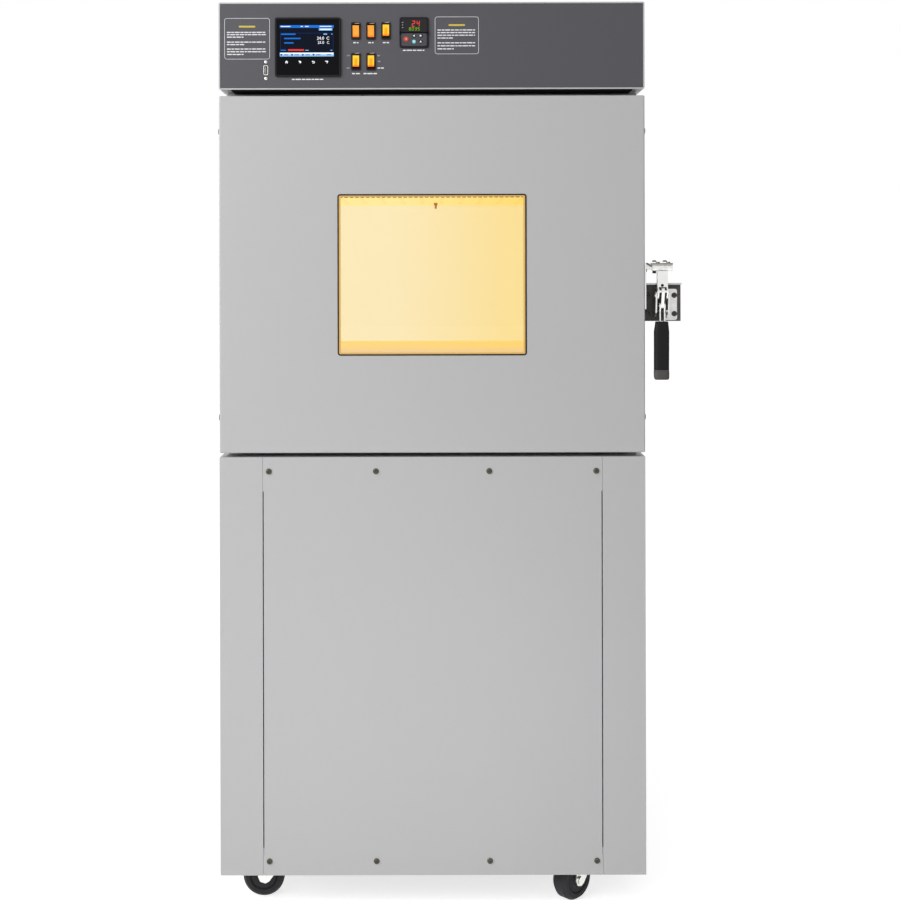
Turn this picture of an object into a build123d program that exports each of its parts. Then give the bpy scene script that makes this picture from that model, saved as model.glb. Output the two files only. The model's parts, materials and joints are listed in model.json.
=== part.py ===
from build123d import *
from math import cos, degrees, hypot, radians, sin, tan
import os

# Driving sizes in millimetres: x to the right, y to the back, z up.
# The front face lies at y = 0, the cabinet's middle at x = 0 and the floor at z = 0.
cabinet_width = 770.0
cabinet_depth = 1000.0
skirt_height = 64.5
lower_height = 756.0
gap_below_door = 7.5
door_height = 646.0
gap_above_door = 11.5
console_height = 157.5
body_step = 8.0
sheet = 1.5
running_gap = 0.05
moving_gap = 0.3

# Lower cabinet
post_width = 78.0
post_hem = 18.0
rail_height = 48.0
rear_post_width = 40.0
panel_seam = 0.5
panel_relief = 1.5
relief_inset_top = 62.0
relief_inset_bottom = 37.0
panel_fold = 12.0
panel_screw_x = (-296.0, -102.5, 102.5, 296.0)
panel_screw_inset = 25.6
screw_radius = 5.35
screw_height = 2.6
screw_shank = 3.0
tube = 40.0
tube_wall = 3.0
frame_inset = 20.0
gusset = 6.0
louvre_count = 7
louvre_length = 150.0
louvre_height = 8.0
louvre_pitch = 34.0
louvre_depth = 7.0

# Casters
caster_height = 95.25
caster_x = 280.0
caster_inset_y = 80.0
wheel_radius = 38.1
wheel_width = 32.0
trail = 34.0
axle_radius = 4.0
caster_plate = (92.0, 62.0, 3.0)
raceway_radius = 25.0
raceway_height = 8.0
crown = 3.5
leg = 3.0
leg_gap = 1.2
kingpin_radius = 5.0
caster_angles = {"front_left": 180.0, "front_right": 223.0, "rear_left": 128.0, "rear_right": 76.0}

# Insulated body and chamber
door_depth = 52.0
gasket_depth = 8.0
chamber_width = 560.0
chamber_height = 460.0
chamber_depth = 634.0
chamber_floor_above_deck = 104.5
baffle_depth = 540.0
liner_sheet = 1.2
liner_flange = 22.0
breaker_depth = 6.0
shell_flange = 30.0
insulation_back = 100.0
ceiling_drop = 84.0
diffuser_setback = 24.0
diffuser_lip = 7.0
tooth_pitch = 10.0
tooth_depth = 3.4
vent_size = 10.0
vent_pitch_x = 40.0
vent_pitch_y = 60.0
shelf_rise = 79.0
shelf_fold = 14.0
runner_width = 22.0
return_slot = (44.0, 10.0)
return_pitch = 26.0
blower_radius = 90.0
blower_eye = 60.0
blower_width = 44.0
blade_count = 12
shaft_radius = 6.0
motor_radius = 58.0
motor_length = 118.0
lamp_x = 236.0
sensor_at = (8.0, 404.0)

# Door
skin_bend = 2.5
window_width = 342.0
window_height = 292.0
window_from_top = 178.0
window_corner = 5.0
trim_lip = 2.4
glass = 5.0
glass_lap = 10.0
gasket_width = 24.0
gasket_reach = 26.0
plug = 5.0

# Hinges
pin_radius = 3.0
knuckle_radius = 5.0
leaf = 2.5
hinge_length = 90.0
hinge_screw_inset = 25.0
hinge_screw_pitch = 37.5
side_screw_y = 26.0
side_screw = (5.2, 2.9)
side_screw_large = (7.0, 4.2)
spare_screw_rise = (287.0, 241.0)

# Latch: a hold-down toggle clamp; its points are (y, z) from the arm's pivot
clamp_x_from_side = 32.0
clamp_rise = 283.0
clamp_pivot_y = 5.0
arm_reach = 50.0
link_pin = (-6.30, 7.83)
handle_pin = (6.08, -27.63)
drive_pin = (3.38, -18.40)
rivet = 2.5
link_play = 1.75
upright_band = (10.0, 12.5)
arm_band = (6.9, 9.4)
handle_band = (2.9, 5.2)
link_half = 2.6
clamp_flange = (60.0, 57.0, 3.0)
clamp_screws = (50.0, 33.6)
bracket_sheet = 3.0
bracket_right = 37.0
bracket_front_y = 30.0
bracket_rise = 23.0
bracket_drop = 46.5
bracket_shelf = 13.0
bracket_leg = 90.0
bracket_joggle = 10.0
presser_radius = 6.0
presser_flat = 1.0
presser_shift = 1.0
presser_length = 37.0
keeper_sheet = 2.5
keeper_height = (-24.0, 60.0)
keeper_press_height = (33.0, 58.0)
grip_drop = (46.5, 151.3)

# Console
console_sheet = 2.5
face_recess = 1.0
face_sheet = 3.0
face_lip = 12.0
touch_at = (-223.6, 76.2)
touch_size = (119.3, 107.2)
touch_stand = 4.5
touch_border = 3.0
limit_at = (-31.7, 102.3)
limit_size = (52.5, 55.6)
limit_stand = 3.5
key_travel = 0.6
key_stand = 0.9
key_grid = 12.0
keys = {"key_reset": (-14.2, -11.9, 4.6), "key_left": (0.0, -6.1, 3.45), "key_right": (key_grid, -6.1, 3.45),
        "key_down": (0.0, -16.6, 3.45), "key_up": (key_grid, -16.6, 3.45)}
switch_pitch = 27.2
switch_x = -136.9
switch_rows = (105.6, 50.0)
switch_states = (False, False, True, True, True)
switch_frame = (16.6, 31.2)
switch_flange = 2.0
switch_housing = (14.2, 27.4, 22.0)
rocker_width = 12.2
rocker_half = 11.0
rocker_tilt = 9.0
rocker_pivot = 6.0
trunnion = 1.2
usb_at = (-299.8, 35.0)
usb_screw_pitch = 30.0

# Machine bay in the lower cabinet
can_radius = 92.0
can_height = 236.0
can_at = (-170.0, 330.0)
coil_size = (330.0, 56.0, 320.0)
coil_from_back = 60.0
fan_radius = 120.0
fan_blades = 4

# Levels and half sizes that follow from the driving sizes
half_width = cabinet_width / 2
body_half = half_width - body_step
lower_top = skirt_height + lower_height
door_bottom = lower_top + gap_below_door
door_top = door_bottom + door_height
console_bottom = door_top + gap_above_door
cabinet_top = console_bottom + console_height
body_front = door_depth + gasket_depth
panel_half = half_width - post_width
chamber_half = chamber_width / 2
chamber_bottom = lower_top + chamber_floor_above_deck
chamber_top = chamber_bottom + chamber_height
liner_front = body_front + breaker_depth
liner_back = liner_front + chamber_depth
baffle_y = liner_front + baffle_depth
ceiling = chamber_top - ceiling_drop
shelf_top = chamber_bottom + shelf_rise
window_top = door_top - window_from_top
window_bottom = window_top - window_height
window_middle = (window_top + window_bottom) / 2
blower_z = chamber_bottom + chamber_height / 2
blower_y = baffle_y + 20.0
motor_y = liner_back + liner_sheet + insulation_back
pin_x = -(body_half + leaf + 4.0)
pin_y = body_front + 6.0
clamp_x = half_width + clamp_x_from_side
clamp_z = door_bottom + clamp_rise
frame_bottom = caster_height + gusset
frame_top = frame_bottom + tube
axle_z = wheel_radius


def span(limits):
    """Middle and length of a pair of limits."""
    low, high = limits
    return (low + high) / 2, high - low


def block(x, y, z):
    """A box between two limits on each axis."""
    (mx, lx), (my, ly), (mz, lz) = span(x), span(y), span(z)
    return Pos(mx, my, mz) * Box(lx, ly, lz)


def rod_x(x, y, z, radius):
    middle, length = span(x)
    return Pos(middle, y, z) * Rot(0, 90, 0) * Cylinder(radius, length)


def rod_y(x, y, z, radius):
    middle, length = span(y)
    return Pos(x, middle, z) * Rot(90, 0, 0) * Cylinder(radius, length)


def rod_z(x, y, z, radius):
    middle, length = span(z)
    return Pos(x, y, middle) * Cylinder(radius, length)


def plate(x, y, z, corner):
    """An upright plate in the XZ plane with rounded corners."""
    (mx, lx), (mz, lz) = span(x), span(z)
    outline = Plane.XZ.offset(-y[1]) * Pos(mx, mz) * RectangleRounded(lx, lz, corner)
    return extrude(outline, y[1] - y[0])


def from_side(section, x):
    """Extrudes a section drawn in (y, z) between two values of x."""
    return extrude(Plane.YZ.offset(x[0]) * section, x[1] - x[0])


def from_above(section, z):
    """Extrudes a section drawn in (x, y) between two values of z."""
    return extrude(Plane.XY.offset(z[0]) * section, z[1] - z[0])


def outline(*points):
    return make_face(Polyline(*points, close=True))


def folded(corners, thickness):
    """Section of a bent sheet: its corners, and the same corners one thickness to their left."""
    points = [Vector(*corner) for corner in corners]
    steps = [(end - start).normalized() for start, end in zip(points, points[1:])]
    lefts = [Vector(-step.Y, step.X) for step in steps]
    inner = [points[0] + lefts[0] * thickness]
    for point, before, after in zip(points[1:], lefts, lefts[1:]):
        inner.append(point + (before + after) * (thickness / (1 + before.dot(after))))
    inner.append(points[-1] + lefts[-1] * thickness)
    return outline(*points, *reversed(inner))


def strap(*ends):
    """Flat outline round circles given as (y, z, radius)."""
    edges = [edge for y, z, radius in ends for edge in (Pos(y, z) * Circle(radius)).edges()]
    return make_hull(edges)


def both_sides(shape):
    """A shape and its mirror image across the cabinet's middle."""
    return shape + mirror(shape, Plane.YZ)


# Lower cabinet

def panel_screw_places():
    heights = (skirt_height + panel_screw_inset, lower_top - panel_screw_inset)
    return [(x, z) for x in panel_screw_x for z in heights]


def lower_shell():
    opening = panel_half + panel_seam
    side = folded([(opening, post_hem), (opening, 0), (half_width, 0), (half_width, cabinet_depth),
                   (half_width - rear_post_width, cabinet_depth)], sheet)
    sides = both_sides(from_above(side, (skirt_height, lower_top)))
    deck = block((-half_width, half_width), (sheet, cabinet_depth), (lower_top - sheet, lower_top))
    rails = []
    for low, fold in ((skirt_height + sheet, 1), (lower_top - sheet - rail_height, 0)):
        high = low + rail_height
        shelf_z = high - sheet if fold else low
        rails.append(block((-opening, opening), (sheet, 2 * sheet), (low, high)))
        rails.append(block((-opening, opening), (sheet, post_hem), (shelf_z, shelf_z + sheet)))
    shell = sides + deck + rails
    holes = [rod_y(x, (0, 3 * sheet), z, screw_shank) for x, z in panel_screw_places()]
    return shell - holes


def access_panel():
    relief = (skirt_height + relief_inset_bottom, lower_top - relief_inset_top)
    panel = block((-panel_half, panel_half), (0, sheet), (skirt_height, lower_top))
    notch = block((panel_half - panel_relief, panel_half), (0, sheet), relief)
    fold_x = panel_half - panel_relief
    fold = block((fold_x - sheet, fold_x), (sheet, panel_fold), (skirt_height + sheet + rail_height, relief[1]))
    holes = [rod_y(x, (-1, 2 * sheet), z, screw_shank) for x, z in panel_screw_places()]
    return panel - both_sides(notch) + both_sides(fold) - holes


def rear_panel():
    half = half_width - rear_post_width - panel_seam
    back = cabinet_depth
    panel = block((-half, half), (back - sheet, back), (skirt_height, lower_top - sheet))
    lowest = frame_top + 70.0
    for side in (-1, 1):
        middle = side * half / 2
        x = (middle - louvre_length / 2, middle + louvre_length / 2)
        for row in range(louvre_count):
            z = lowest + row * louvre_pitch
            root, lip = z + louvre_height, back + louvre_depth
            hood = outline((back, root + 2 * sheet), (lip, z + 1.3 * sheet), (lip, z), (lip - sheet, z),
                           (lip - sheet, z + 0.6 * sheet), (back, root + 0.5 * sheet))
            cheek = outline((back, root + 2 * sheet), (lip, z + 1.3 * sheet), (lip, z), (back, z))
            panel -= block(x, (back - sheet, back), (z, root))
            panel += from_side(hood, x) + from_side(cheek, (x[0] - sheet, x[0])) + from_side(cheek, (x[1], x[1] + sheet))
    return panel


def base_frame():
    half = half_width - sheet
    x, y = (-half, half), (frame_inset, cabinet_depth - frame_inset)
    inner = tube_wall
    ring = block(x, y, (frame_bottom, frame_top))
    ring -= block((-half + tube, half - tube), (y[0] + tube, y[1] - tube), (frame_bottom, frame_top))
    hollow = block((-half + inner, half - inner), (y[0] + inner, y[1] - inner), (frame_bottom + inner, frame_top - inner))
    core = block((-half + tube - inner, half - tube + inner), (y[0] + tube - inner, y[1] - tube + inner),
                 (frame_bottom, frame_top))
    ring -= hollow - core
    pan = block(x, y, (frame_top, frame_top + sheet))
    frame = ring + pan
    for place_x, place_y in caster_places().values():
        outer = half if place_x > 0 else -half
        inner_x = place_x - (caster_plate[0] / 2 + 8) * (1 if place_x > 0 else -1)
        x_limits = (min(outer, inner_x), max(outer, inner_x))
        front = place_y < cabinet_depth / 2
        reach = caster_plate[1] / 2 + 8
        y_limits = (y[0], place_y + reach) if front else (place_y - reach, y[1])
        frame += block(x_limits, y_limits, (frame_bottom - gusset, frame_bottom))
    return frame


# Casters

def caster_places():
    rear_y = cabinet_depth - caster_inset_y
    return {"front_left": (-caster_x, caster_inset_y), "front_right": (caster_x, caster_inset_y),
            "rear_left": (-caster_x, rear_y), "rear_right": (caster_x, rear_y)}


def caster_mount(name):
    """Top plate, ball race and kingpin, which stay with the cabinet."""
    x, y = caster_places()[name]
    length, width, thick = caster_plate
    top = Pos(x, y, caster_height - thick / 2) * Box(length, width, thick)
    race_bottom = caster_height - raceway_height
    race = rod_z(x, y, (race_bottom, caster_height - thick), raceway_radius)
    pin = rod_z(x, y, (race_bottom - crown - 3 * moving_gap - 3, race_bottom), kingpin_radius)
    head = rod_z(x, y, (race_bottom - crown - 2 * moving_gap - 5, race_bottom - crown - 2 * moving_gap), 2 * kingpin_radius)
    return top + race + pin + head


def caster_fork():
    """Fork round its own swivel axis, with the axle trailing towards +x."""
    top = caster_height - raceway_height - moving_gap
    inner = wheel_width / 2 + leg_gap
    outer = inner + leg
    crown_plate = Pos(0, 0, top - crown / 2) * Cylinder(raceway_radius, crown)
    crown_plate += block((-8, trail + 6), (-outer, outer), (top - crown, top))
    side = outline((-12, top), (-8, top - 14), (trail - 11, axle_z - 8), (trail - 4, axle_z - 12),
                   (trail + 6, axle_z - 9), (trail + 10, axle_z), (trail + 6, top))
    legs = []
    for face in (-outer, inner):
        legs.append(extrude(Plane.XZ.offset(-(face + leg)) * side, leg))
    axle = rod_y(trail, (-outer - 2.5, outer + 2.5), axle_z, axle_radius)
    nuts = [rod_y(trail, (edge, edge + 4), axle_z, 7.0) for edge in (-outer - 4, outer)]
    hole = rod_z(0, 0, (top - crown, top), kingpin_radius + running_gap)
    return crown_plate + legs + axle + nuts - hole


def caster_wheel():
    """Tyre and hub round the axle of caster_fork."""
    half = wheel_width / 2
    bore = axle_radius + running_gap
    groove = 0.63 * wheel_radius
    section = outline((bore, -half - 0.9), (10, -half - 0.9), (12, -half + 1.5), (groove - 2, -half + 1.5), (groove, -half + 3),
                      (groove + 2, -half), (wheel_radius - 5, -half), (wheel_radius, -half + 7),
                      (wheel_radius, half - 7), (wheel_radius - 5, half), (groove + 2, half), (groove, half - 3),
                      (groove - 2, half - 1.5), (12, half - 1.5), (10, half + 0.9), (bore, half + 0.9))
    turned = revolve(Plane.XY * section, Axis.Y)
    return Pos(trail, 0, axle_z) * turned


def placed_caster(name, shape):
    x, y = caster_places()[name]
    return Pos(x, y, 0) * Rot(0, 0, caster_angles[name]) * shape


# Insulated body and chamber

def upper_shell():
    side = folded([(body_half - shell_flange, body_front), (body_half, body_front), (body_half, cabinet_depth),
                   (0, cabinet_depth)], sheet)
    shell = both_sides(from_above(side, (lower_top, console_bottom)))
    inner = body_half - shell_flange
    for z in ((lower_top, lower_top + shell_flange), (console_bottom - shell_flange, console_bottom)):
        shell += block((-inner, inner), (body_front, body_front + sheet), z)
    return shell


def breaker_frame():
    inner = body_half - shell_flange
    z = (lower_top + shell_flange, console_bottom - shell_flange)
    ring = block((-inner, inner), (body_front, liner_front), z)
    return ring - block((-chamber_half, chamber_half), (body_front, liner_front), (chamber_bottom, chamber_top))


def liner():
    outer = chamber_half + liner_sheet
    z = (chamber_bottom - liner_sheet, chamber_top + liner_sheet)
    box = block((-outer, outer), (liner_front, liner_back + liner_sheet), z)
    flange = chamber_half + liner_flange
    box += block((-flange, flange), (liner_front, liner_front + liner_sheet),
                 (chamber_bottom - liner_flange, chamber_top + liner_flange))
    box -= block((-chamber_half, chamber_half), (liner_front, liner_back), (chamber_bottom, chamber_top))
    return box - rod_y(0, (liner_back, liner_back + liner_sheet), blower_z, 2 * shaft_radius)


def insulation():
    half = body_half - sheet
    outer = chamber_half + liner_sheet
    block_y = (liner_front + liner_sheet, motor_y)
    wall = block((-half, half), block_y, (lower_top, console_bottom))
    wall -= block((-outer, outer), (block_y[0], liner_back + liner_sheet),
                  (chamber_bottom - liner_sheet, chamber_top + liner_sheet))
    flange = chamber_half + liner_flange
    front = block((-half, half), (body_front + sheet, block_y[0]), (lower_top, console_bottom))
    inner = body_half - shell_flange
    front -= block((-inner, inner), (body_front, liner_front),
                   (lower_top + shell_flange, console_bottom - shell_flange))
    front -= block((-flange, flange), (liner_front, block_y[0]),
                   (chamber_bottom - liner_flange, chamber_top + liner_flange))
    return wall + front - rod_y(0, block_y, blower_z, 2 * shaft_radius)


def rear_baffle():
    wall = block((-chamber_half, chamber_half), (baffle_y, baffle_y + liner_sheet), (chamber_bottom, ceiling - 4))
    width, height = return_slot
    rows = int((ceiling - chamber_bottom - 60) / return_pitch)
    slots = []
    for row in range(rows):
        z = chamber_bottom + 30 + row * return_pitch
        slots.append(block((chamber_half - 16 - width, chamber_half - 16), (baffle_y, baffle_y + liner_sheet), (z, z + height)))
    fold = block((-chamber_half, chamber_half), (baffle_y - shelf_fold, baffle_y), (chamber_bottom, chamber_bottom + liner_sheet))
    return wall - both_sides(Part() + slots) + fold


def ceiling_diffuser():
    """Ceiling plate with vents, held by side flanges, and a toothed lip across its front edge."""
    front = liner_front + diffuser_setback
    top = block((-chamber_half, chamber_half), (front, baffle_y), (ceiling, ceiling + liner_sheet))
    columns = int((chamber_width - 60) / vent_pitch_x)
    rows = int((baffle_y - front - 60) / vent_pitch_y)
    vents = []
    for column in range(columns):
        x = (column - (columns - 1) / 2) * vent_pitch_x
        for row in range(rows):
            y = front + 40 + row * vent_pitch_y
            vents.append(block((x - vent_size / 2, x + vent_size / 2), (y, y + 2 * vent_size), (ceiling, ceiling + liner_sheet)))
    side = block((chamber_half - liner_sheet, chamber_half), (front, baffle_y), (ceiling, ceiling + 20))
    count = int(chamber_width / tooth_pitch) - 1
    bottom = ceiling - diffuser_lip
    start = -count * tooth_pitch / 2
    points = [(-chamber_half, ceiling), (-chamber_half, bottom + tooth_depth), (start, bottom + tooth_depth)]
    for tooth in range(count):
        x = start + tooth * tooth_pitch
        points += [(x + tooth_pitch * 0.2, bottom), (x + tooth_pitch * 0.8, bottom), (x + tooth_pitch, bottom + tooth_depth)]
    points += [(chamber_half, bottom + tooth_depth), (chamber_half, ceiling)]
    lip = extrude(Plane.XZ.offset(-(front + liner_sheet)) * outline(*points), liner_sheet)
    return top - vents + both_sides(side) + lip


def shelf():
    half = chamber_half - 8.0
    y = (liner_front + diffuser_setback, baffle_y - shelf_fold - 4)
    tray = block((-half, half), y, (shelf_top - liner_sheet, shelf_top))
    lip = chamber_half - runner_width - 1.0
    for edge in (y[0], y[1] - liner_sheet):
        tray += block((-lip, lip), (edge, edge + liner_sheet), (shelf_top - shelf_fold, shelf_top - liner_sheet))
    return tray


def shelf_runners():
    y = (liner_front + diffuser_setback, baffle_y)
    top = shelf_top - liner_sheet
    angle = folded([(chamber_half, top - 24), (chamber_half, top), (chamber_half - runner_width, top)], liner_sheet)
    runner = extrude(Plane.XZ.offset(-y[1]) * angle, y[1] - y[0])
    return both_sides(runner)


def chamber_fittings():
    """Temperature probe through the ceiling and a round lamp on the right wall, both clear of the window's view."""
    x, depth = sensor_at
    y = liner_front + depth
    probe = rod_z(x, y, (ceiling - 5, ceiling), 4.0) + rod_z(x, y, (ceiling - 12, ceiling - 5), 2.2)
    base = rod_z(lamp_x, liner_front + 120, (ceiling - 6, ceiling), 21.0)
    dome = rod_z(lamp_x, liner_front + 120, (ceiling - 22, ceiling - 6), 17.0)
    return Compound([probe, base + dome])


def blower_wheel():
    y = blower_y
    back = rod_y(0, (y + blower_width, y + blower_width + 2), blower_z, blower_radius)
    front = rod_y(0, (y, y + 2), blower_z, blower_radius) - rod_y(0, (y, y + 2), blower_z, blower_eye)
    blade = block((blower_eye + 2, blower_radius - 2), (y + 2, y + blower_width), (-0.8, 0.8))
    wheel = back + front
    for index in range(blade_count):
        turn = Pos(0, 0, blower_z) * Rot(0, 360 / blade_count * index, 0) * Pos(0, 0, 24)
        wheel += turn * blade
    hub = rod_y(0, (y + blower_width - 16, y + blower_width), blower_z, 3 * shaft_radius)
    shaft = rod_y(0, (y + blower_width - 16, motor_y + 60), blower_z, shaft_radius)
    return wheel + hub + shaft


def blower_motor():
    body = rod_y(0, (motor_y + 6, motor_y + motor_length), blower_z, motor_radius)
    foot = plate((-80, 80), (motor_y, motor_y + 6), (blower_z - 80, blower_z + 80), 8)
    return body + foot - rod_y(0, (motor_y, motor_y + 62), blower_z, shaft_radius + running_gap)


def plenum_coils():
    """Evaporator block low in the plenum and the sheathed heater above the blower."""
    y = (baffle_y + 12, liner_back - 6)
    block_z = (chamber_bottom, chamber_bottom + 92)
    coil = block((-210, 210), y, block_z)
    for index in range(1, 14):
        x = -210 + index * 30
        coil -= block((x - 11, x + 11), (y[0], y[1]), (block_z[0] + 8, block_z[1] - 8))
    for z in (block_z[0] + 26, block_z[0] + 62):
        for tube_y in (y[0] + 20, y[1] - 20):
            coil += rod_x((-222, 222), tube_y, z, 5.0)
    heater_y = (y[0] + y[1]) / 2
    heater_z = blower_z + blower_radius + 22
    bars = block((-chamber_half, -chamber_half + 3), (heater_y - 14, heater_y + 14), (heater_z - 10, heater_z + 40))
    for row in range(3):
        bars += rod_x((-chamber_half + 3, 200), heater_y, heater_z + row * 14, 4.0)
    bars += block((196, 204), (heater_y - 3, heater_y + 3), (heater_z, heater_z + 28))
    return Compound([coil, bars])


# Machine bay

def condensing_unit():
    x, y = can_at
    floor = frame_top + sheet
    can = rod_z(x, y, (floor + 20, floor + 20 + can_height), can_radius)
    can = fillet(can.edges().filter_by(GeomType.CIRCLE), 24)
    for dx in (-1, 1):
        for dy in (-1, 1):
            can += rod_z(x + dx * 78, y + dy * 78, (floor, floor + 26), 12)
    can += block((x - 90, x + 90), (y - 90, y + 90), (floor + 20, floor + 24))
    width, depth, height = coil_size
    back = cabinet_depth - coil_from_back
    coil_x = 70.0
    coil_z = floor + 60
    coil = block((coil_x - width / 2, coil_x + width / 2), (back - depth, back), (coil_z, coil_z + height))
    for edge in (-1, 1):
        leg_x = coil_x + edge * (width / 2 - 10)
        coil += block((leg_x - 10, leg_x + 10), (back - depth, back), (floor, coil_z))
    shroud_y = back - depth - 30
    shroud = block((coil_x - width / 2, coil_x + width / 2), (shroud_y, back - depth), (coil_z, coil_z + height))
    shroud -= rod_y(coil_x, (shroud_y, back - depth), coil_z + height / 2, fan_radius + 6)
    bar_z = coil_z + height / 2
    shroud += block((coil_x - width / 2, coil_x + width / 2), (shroud_y - 6, shroud_y), (bar_z - 14, bar_z + 14))
    shroud += rod_y(coil_x, (shroud_y - 60, shroud_y - 6), bar_z, 34)
    shroud -= rod_y(coil_x, (shroud_y - 40, shroud_y), bar_z, 4 + running_gap)
    pipe_r = 6.0
    top = floor + 20 + can_height - 60
    line = FilletPolyline((x + can_radius - 4, y, top), (x + can_radius + 90, y, top),
                          (x + can_radius + 90, back - depth - 90, top), (coil_x + width / 2 + 20, back - depth - 90, top),
                          (coil_x + width / 2 + 20, back - depth / 2, top), (coil_x + width / 2 - 4, back - depth / 2, top),
                          radius=18)
    pipe = sweep(Plane(line @ 0, z_dir=line % 0) * Circle(pipe_r), line)
    return can + coil + shroud + pipe


def fan_centre():
    width, depth, height = coil_size
    back = cabinet_depth - coil_from_back
    return 70.0, back - depth - 15, frame_top + sheet + 60 + height / 2


def condenser_fan():
    x, y, z = fan_centre()
    fan = rod_y(x, (y - 9, y + 9), z, 22) + rod_y(x, (y - 45, y - 9), z, 4.0)
    for index in range(fan_blades):
        blade = block((16, fan_radius), (-1, 1), (-32, 32))
        fan += Pos(x, y, z) * Rot(0, 360 / fan_blades * index, 0) * Rot(22, 0, 0) * blade
    return fan


# Console

def console_box():
    half = half_width
    shell = plate((-half, half), (0, cabinet_depth), (console_bottom, cabinet_top), 3.0)
    inner = half - console_sheet
    z = (console_bottom + console_sheet, cabinet_top - console_sheet)
    shell -= block((-inner, inner), (0, cabinet_depth - console_sheet), z)
    back = face_recess + face_sheet
    lip = block((-inner, inner), (back, back + console_sheet), z)
    lip -= block((-inner + face_lip, inner - face_lip), (back, back + console_sheet), (z[0] + face_lip, z[1] - face_lip))
    return shell + lip


def switch_places():
    top = console_bottom + switch_rows[0]
    low = console_bottom + switch_rows[1]
    upper = [(switch_x + column * switch_pitch, top) for column in range(3)]
    return upper + [(switch_x + column * switch_pitch, low) for column in range(2)]


def faceplate():
    inner = half_width - console_sheet - moving_gap
    y = (face_recess, face_recess + face_sheet)
    z = (console_bottom + console_sheet + moving_gap, cabinet_top - console_sheet - moving_gap)
    face = block((-inner, inner), y, z)
    cuts = []
    for (x, rise), (width, height) in ((touch_at, touch_size), (limit_at, limit_size)):
        centre = console_bottom + rise
        cuts.append(block((x - width / 2 + 5, x + width / 2 - 5), y, (centre - height / 2 + 5, centre + height / 2 - 5)))
    for x, centre in switch_places():
        width, height = switch_housing[:2]
        cuts.append(block((x - width / 2, x + width / 2), y, (centre - height / 2, centre + height / 2)))
    usb_x, usb_z = usb_at[0], console_bottom + usb_at[1]
    cuts.append(block((usb_x - 4.2, usb_x + 4.2), y, (usb_z - 9, usb_z + 9)))
    for dz in (-usb_screw_pitch / 2, usb_screw_pitch / 2):
        cuts.append(rod_y(usb_x, y, usb_z + dz, 1.5))
    return face - cuts


def instrument(at, size, stand, border, corner, depth):
    """Front bezel with a shallow window, and the case behind it that fills its cut-out."""
    x, centre = at[0], console_bottom + at[1]
    width, height = size
    bezel = plate((x - width / 2, x + width / 2), (face_recess - stand, face_recess),
                  (centre - height / 2, centre + height / 2), corner)
    bezel = chamfer(bezel.faces().sort_by(Axis.Y)[0].edges(), 1.2)
    if border:
        bezel -= plate((x - width / 2 + border, x + width / 2 - border), (face_recess - stand, face_recess - stand + 0.6),
                       (centre - height / 2 + border, centre + height / 2 - border), corner / 2)
    case = block((x - width / 2 + 5, x + width / 2 - 5), (face_recess, face_recess + depth),
                 (centre - height / 2 + 5, centre + height / 2 - 5))
    return bezel + case


def touch_controller():
    return instrument(touch_at, touch_size, touch_stand, touch_border, 4.0, 46.0)


def key_place(name):
    dx, dz, radius = keys[name]
    return limit_at[0] + dx, console_bottom + limit_at[1] + dz, radius


def limit_controller():
    front = face_recess - limit_stand
    body = instrument(limit_at, limit_size, limit_stand, 0, 4.0, 60.0)
    for name in keys:
        x, z, radius = key_place(name)
        body -= rod_y(x, (front, front + limit_stand), z, radius + moving_gap)
    return body


def key(name):
    x, z, radius = key_place(name)
    front = face_recess - limit_stand
    cap = rod_y(x, (front - key_stand, front + limit_stand - key_travel - moving_gap), z, radius)
    return chamfer(cap.faces().sort_by(Axis.Y)[0].edges(), 0.4)


def rocker(place, on):
    """Rocker whose front is a shallow V; its upper half is pressed in when it is on, its lower half when off."""
    x, z = place
    pivot_y = face_recess - switch_flange + rocker_pivot
    rise = rocker_half * tan(radians(rocker_tilt))
    side = outline((-rocker_pivot - rise, rocker_half), (-rocker_pivot, 0), (-rocker_pivot - rise, -rocker_half),
                   (-rocker_pivot + 3.5, -rocker_half), (3.2, -3.2), (3.2, 3.2), (-rocker_pivot + 3.5, rocker_half))
    body = from_side(side, (-rocker_width / 2, rocker_width / 2))
    pins = rod_x((-switch_housing[0] / 2 + moving_gap, switch_housing[0] / 2 - moving_gap), 0, 0, trunnion)
    tilt = -rocker_tilt if on else rocker_tilt
    return Pos(x, pivot_y, z) * Rot(tilt, 0, 0) * (body + pins)


def panel_fittings():
    """Rocker frames and the data port; the port's two screws sit in the faceplate."""
    fittings = []
    width, height, depth = switch_housing
    front = face_recess - switch_flange
    for x, z in switch_places():
        frame = plate((x - switch_frame[0] / 2, x + switch_frame[0] / 2), (front, face_recess),
                      (z - switch_frame[1] / 2, z + switch_frame[1] / 2), 1.5)
        frame += block((x - width / 2, x + width / 2), (face_recess, face_recess + depth), (z - height / 2, z + height / 2))
        half = rocker_width / 2 + moving_gap
        frame -= block((x - half, x + half), (front, front + rocker_pivot + 5), (z - 12.5, z + 12.5))
        frame -= rod_x((x - width / 2, x + width / 2), front + rocker_pivot, z, trunnion + running_gap)
        fittings.append(frame)
    x, z = usb_at[0], console_bottom + usb_at[1]
    back = face_recess + face_sheet
    port = block((x - 3.8, x + 3.8), (face_recess, back + 16), (z - 7.4, z + 7.4))
    port += block((x - 7, x + 7), (back, back + 2), (z - 19, z + 19))
    port -= block((x - 2.9, x + 2.9), (face_recess, back + 12), (z - 6.6, z + 6.6))
    port += block((x - 0.9, x + 0.9), (face_recess + 2, back + 12), (z - 5.6, z + 5.6))
    for dz in (-usb_screw_pitch / 2, usb_screw_pitch / 2):
        port += rod_y(x, (face_recess - 1, face_recess), z + dz, 2.6)
        port += rod_y(x, (face_recess, back), z + dz, 1.5)
    return Compound(fittings + [port])


# Door

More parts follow.
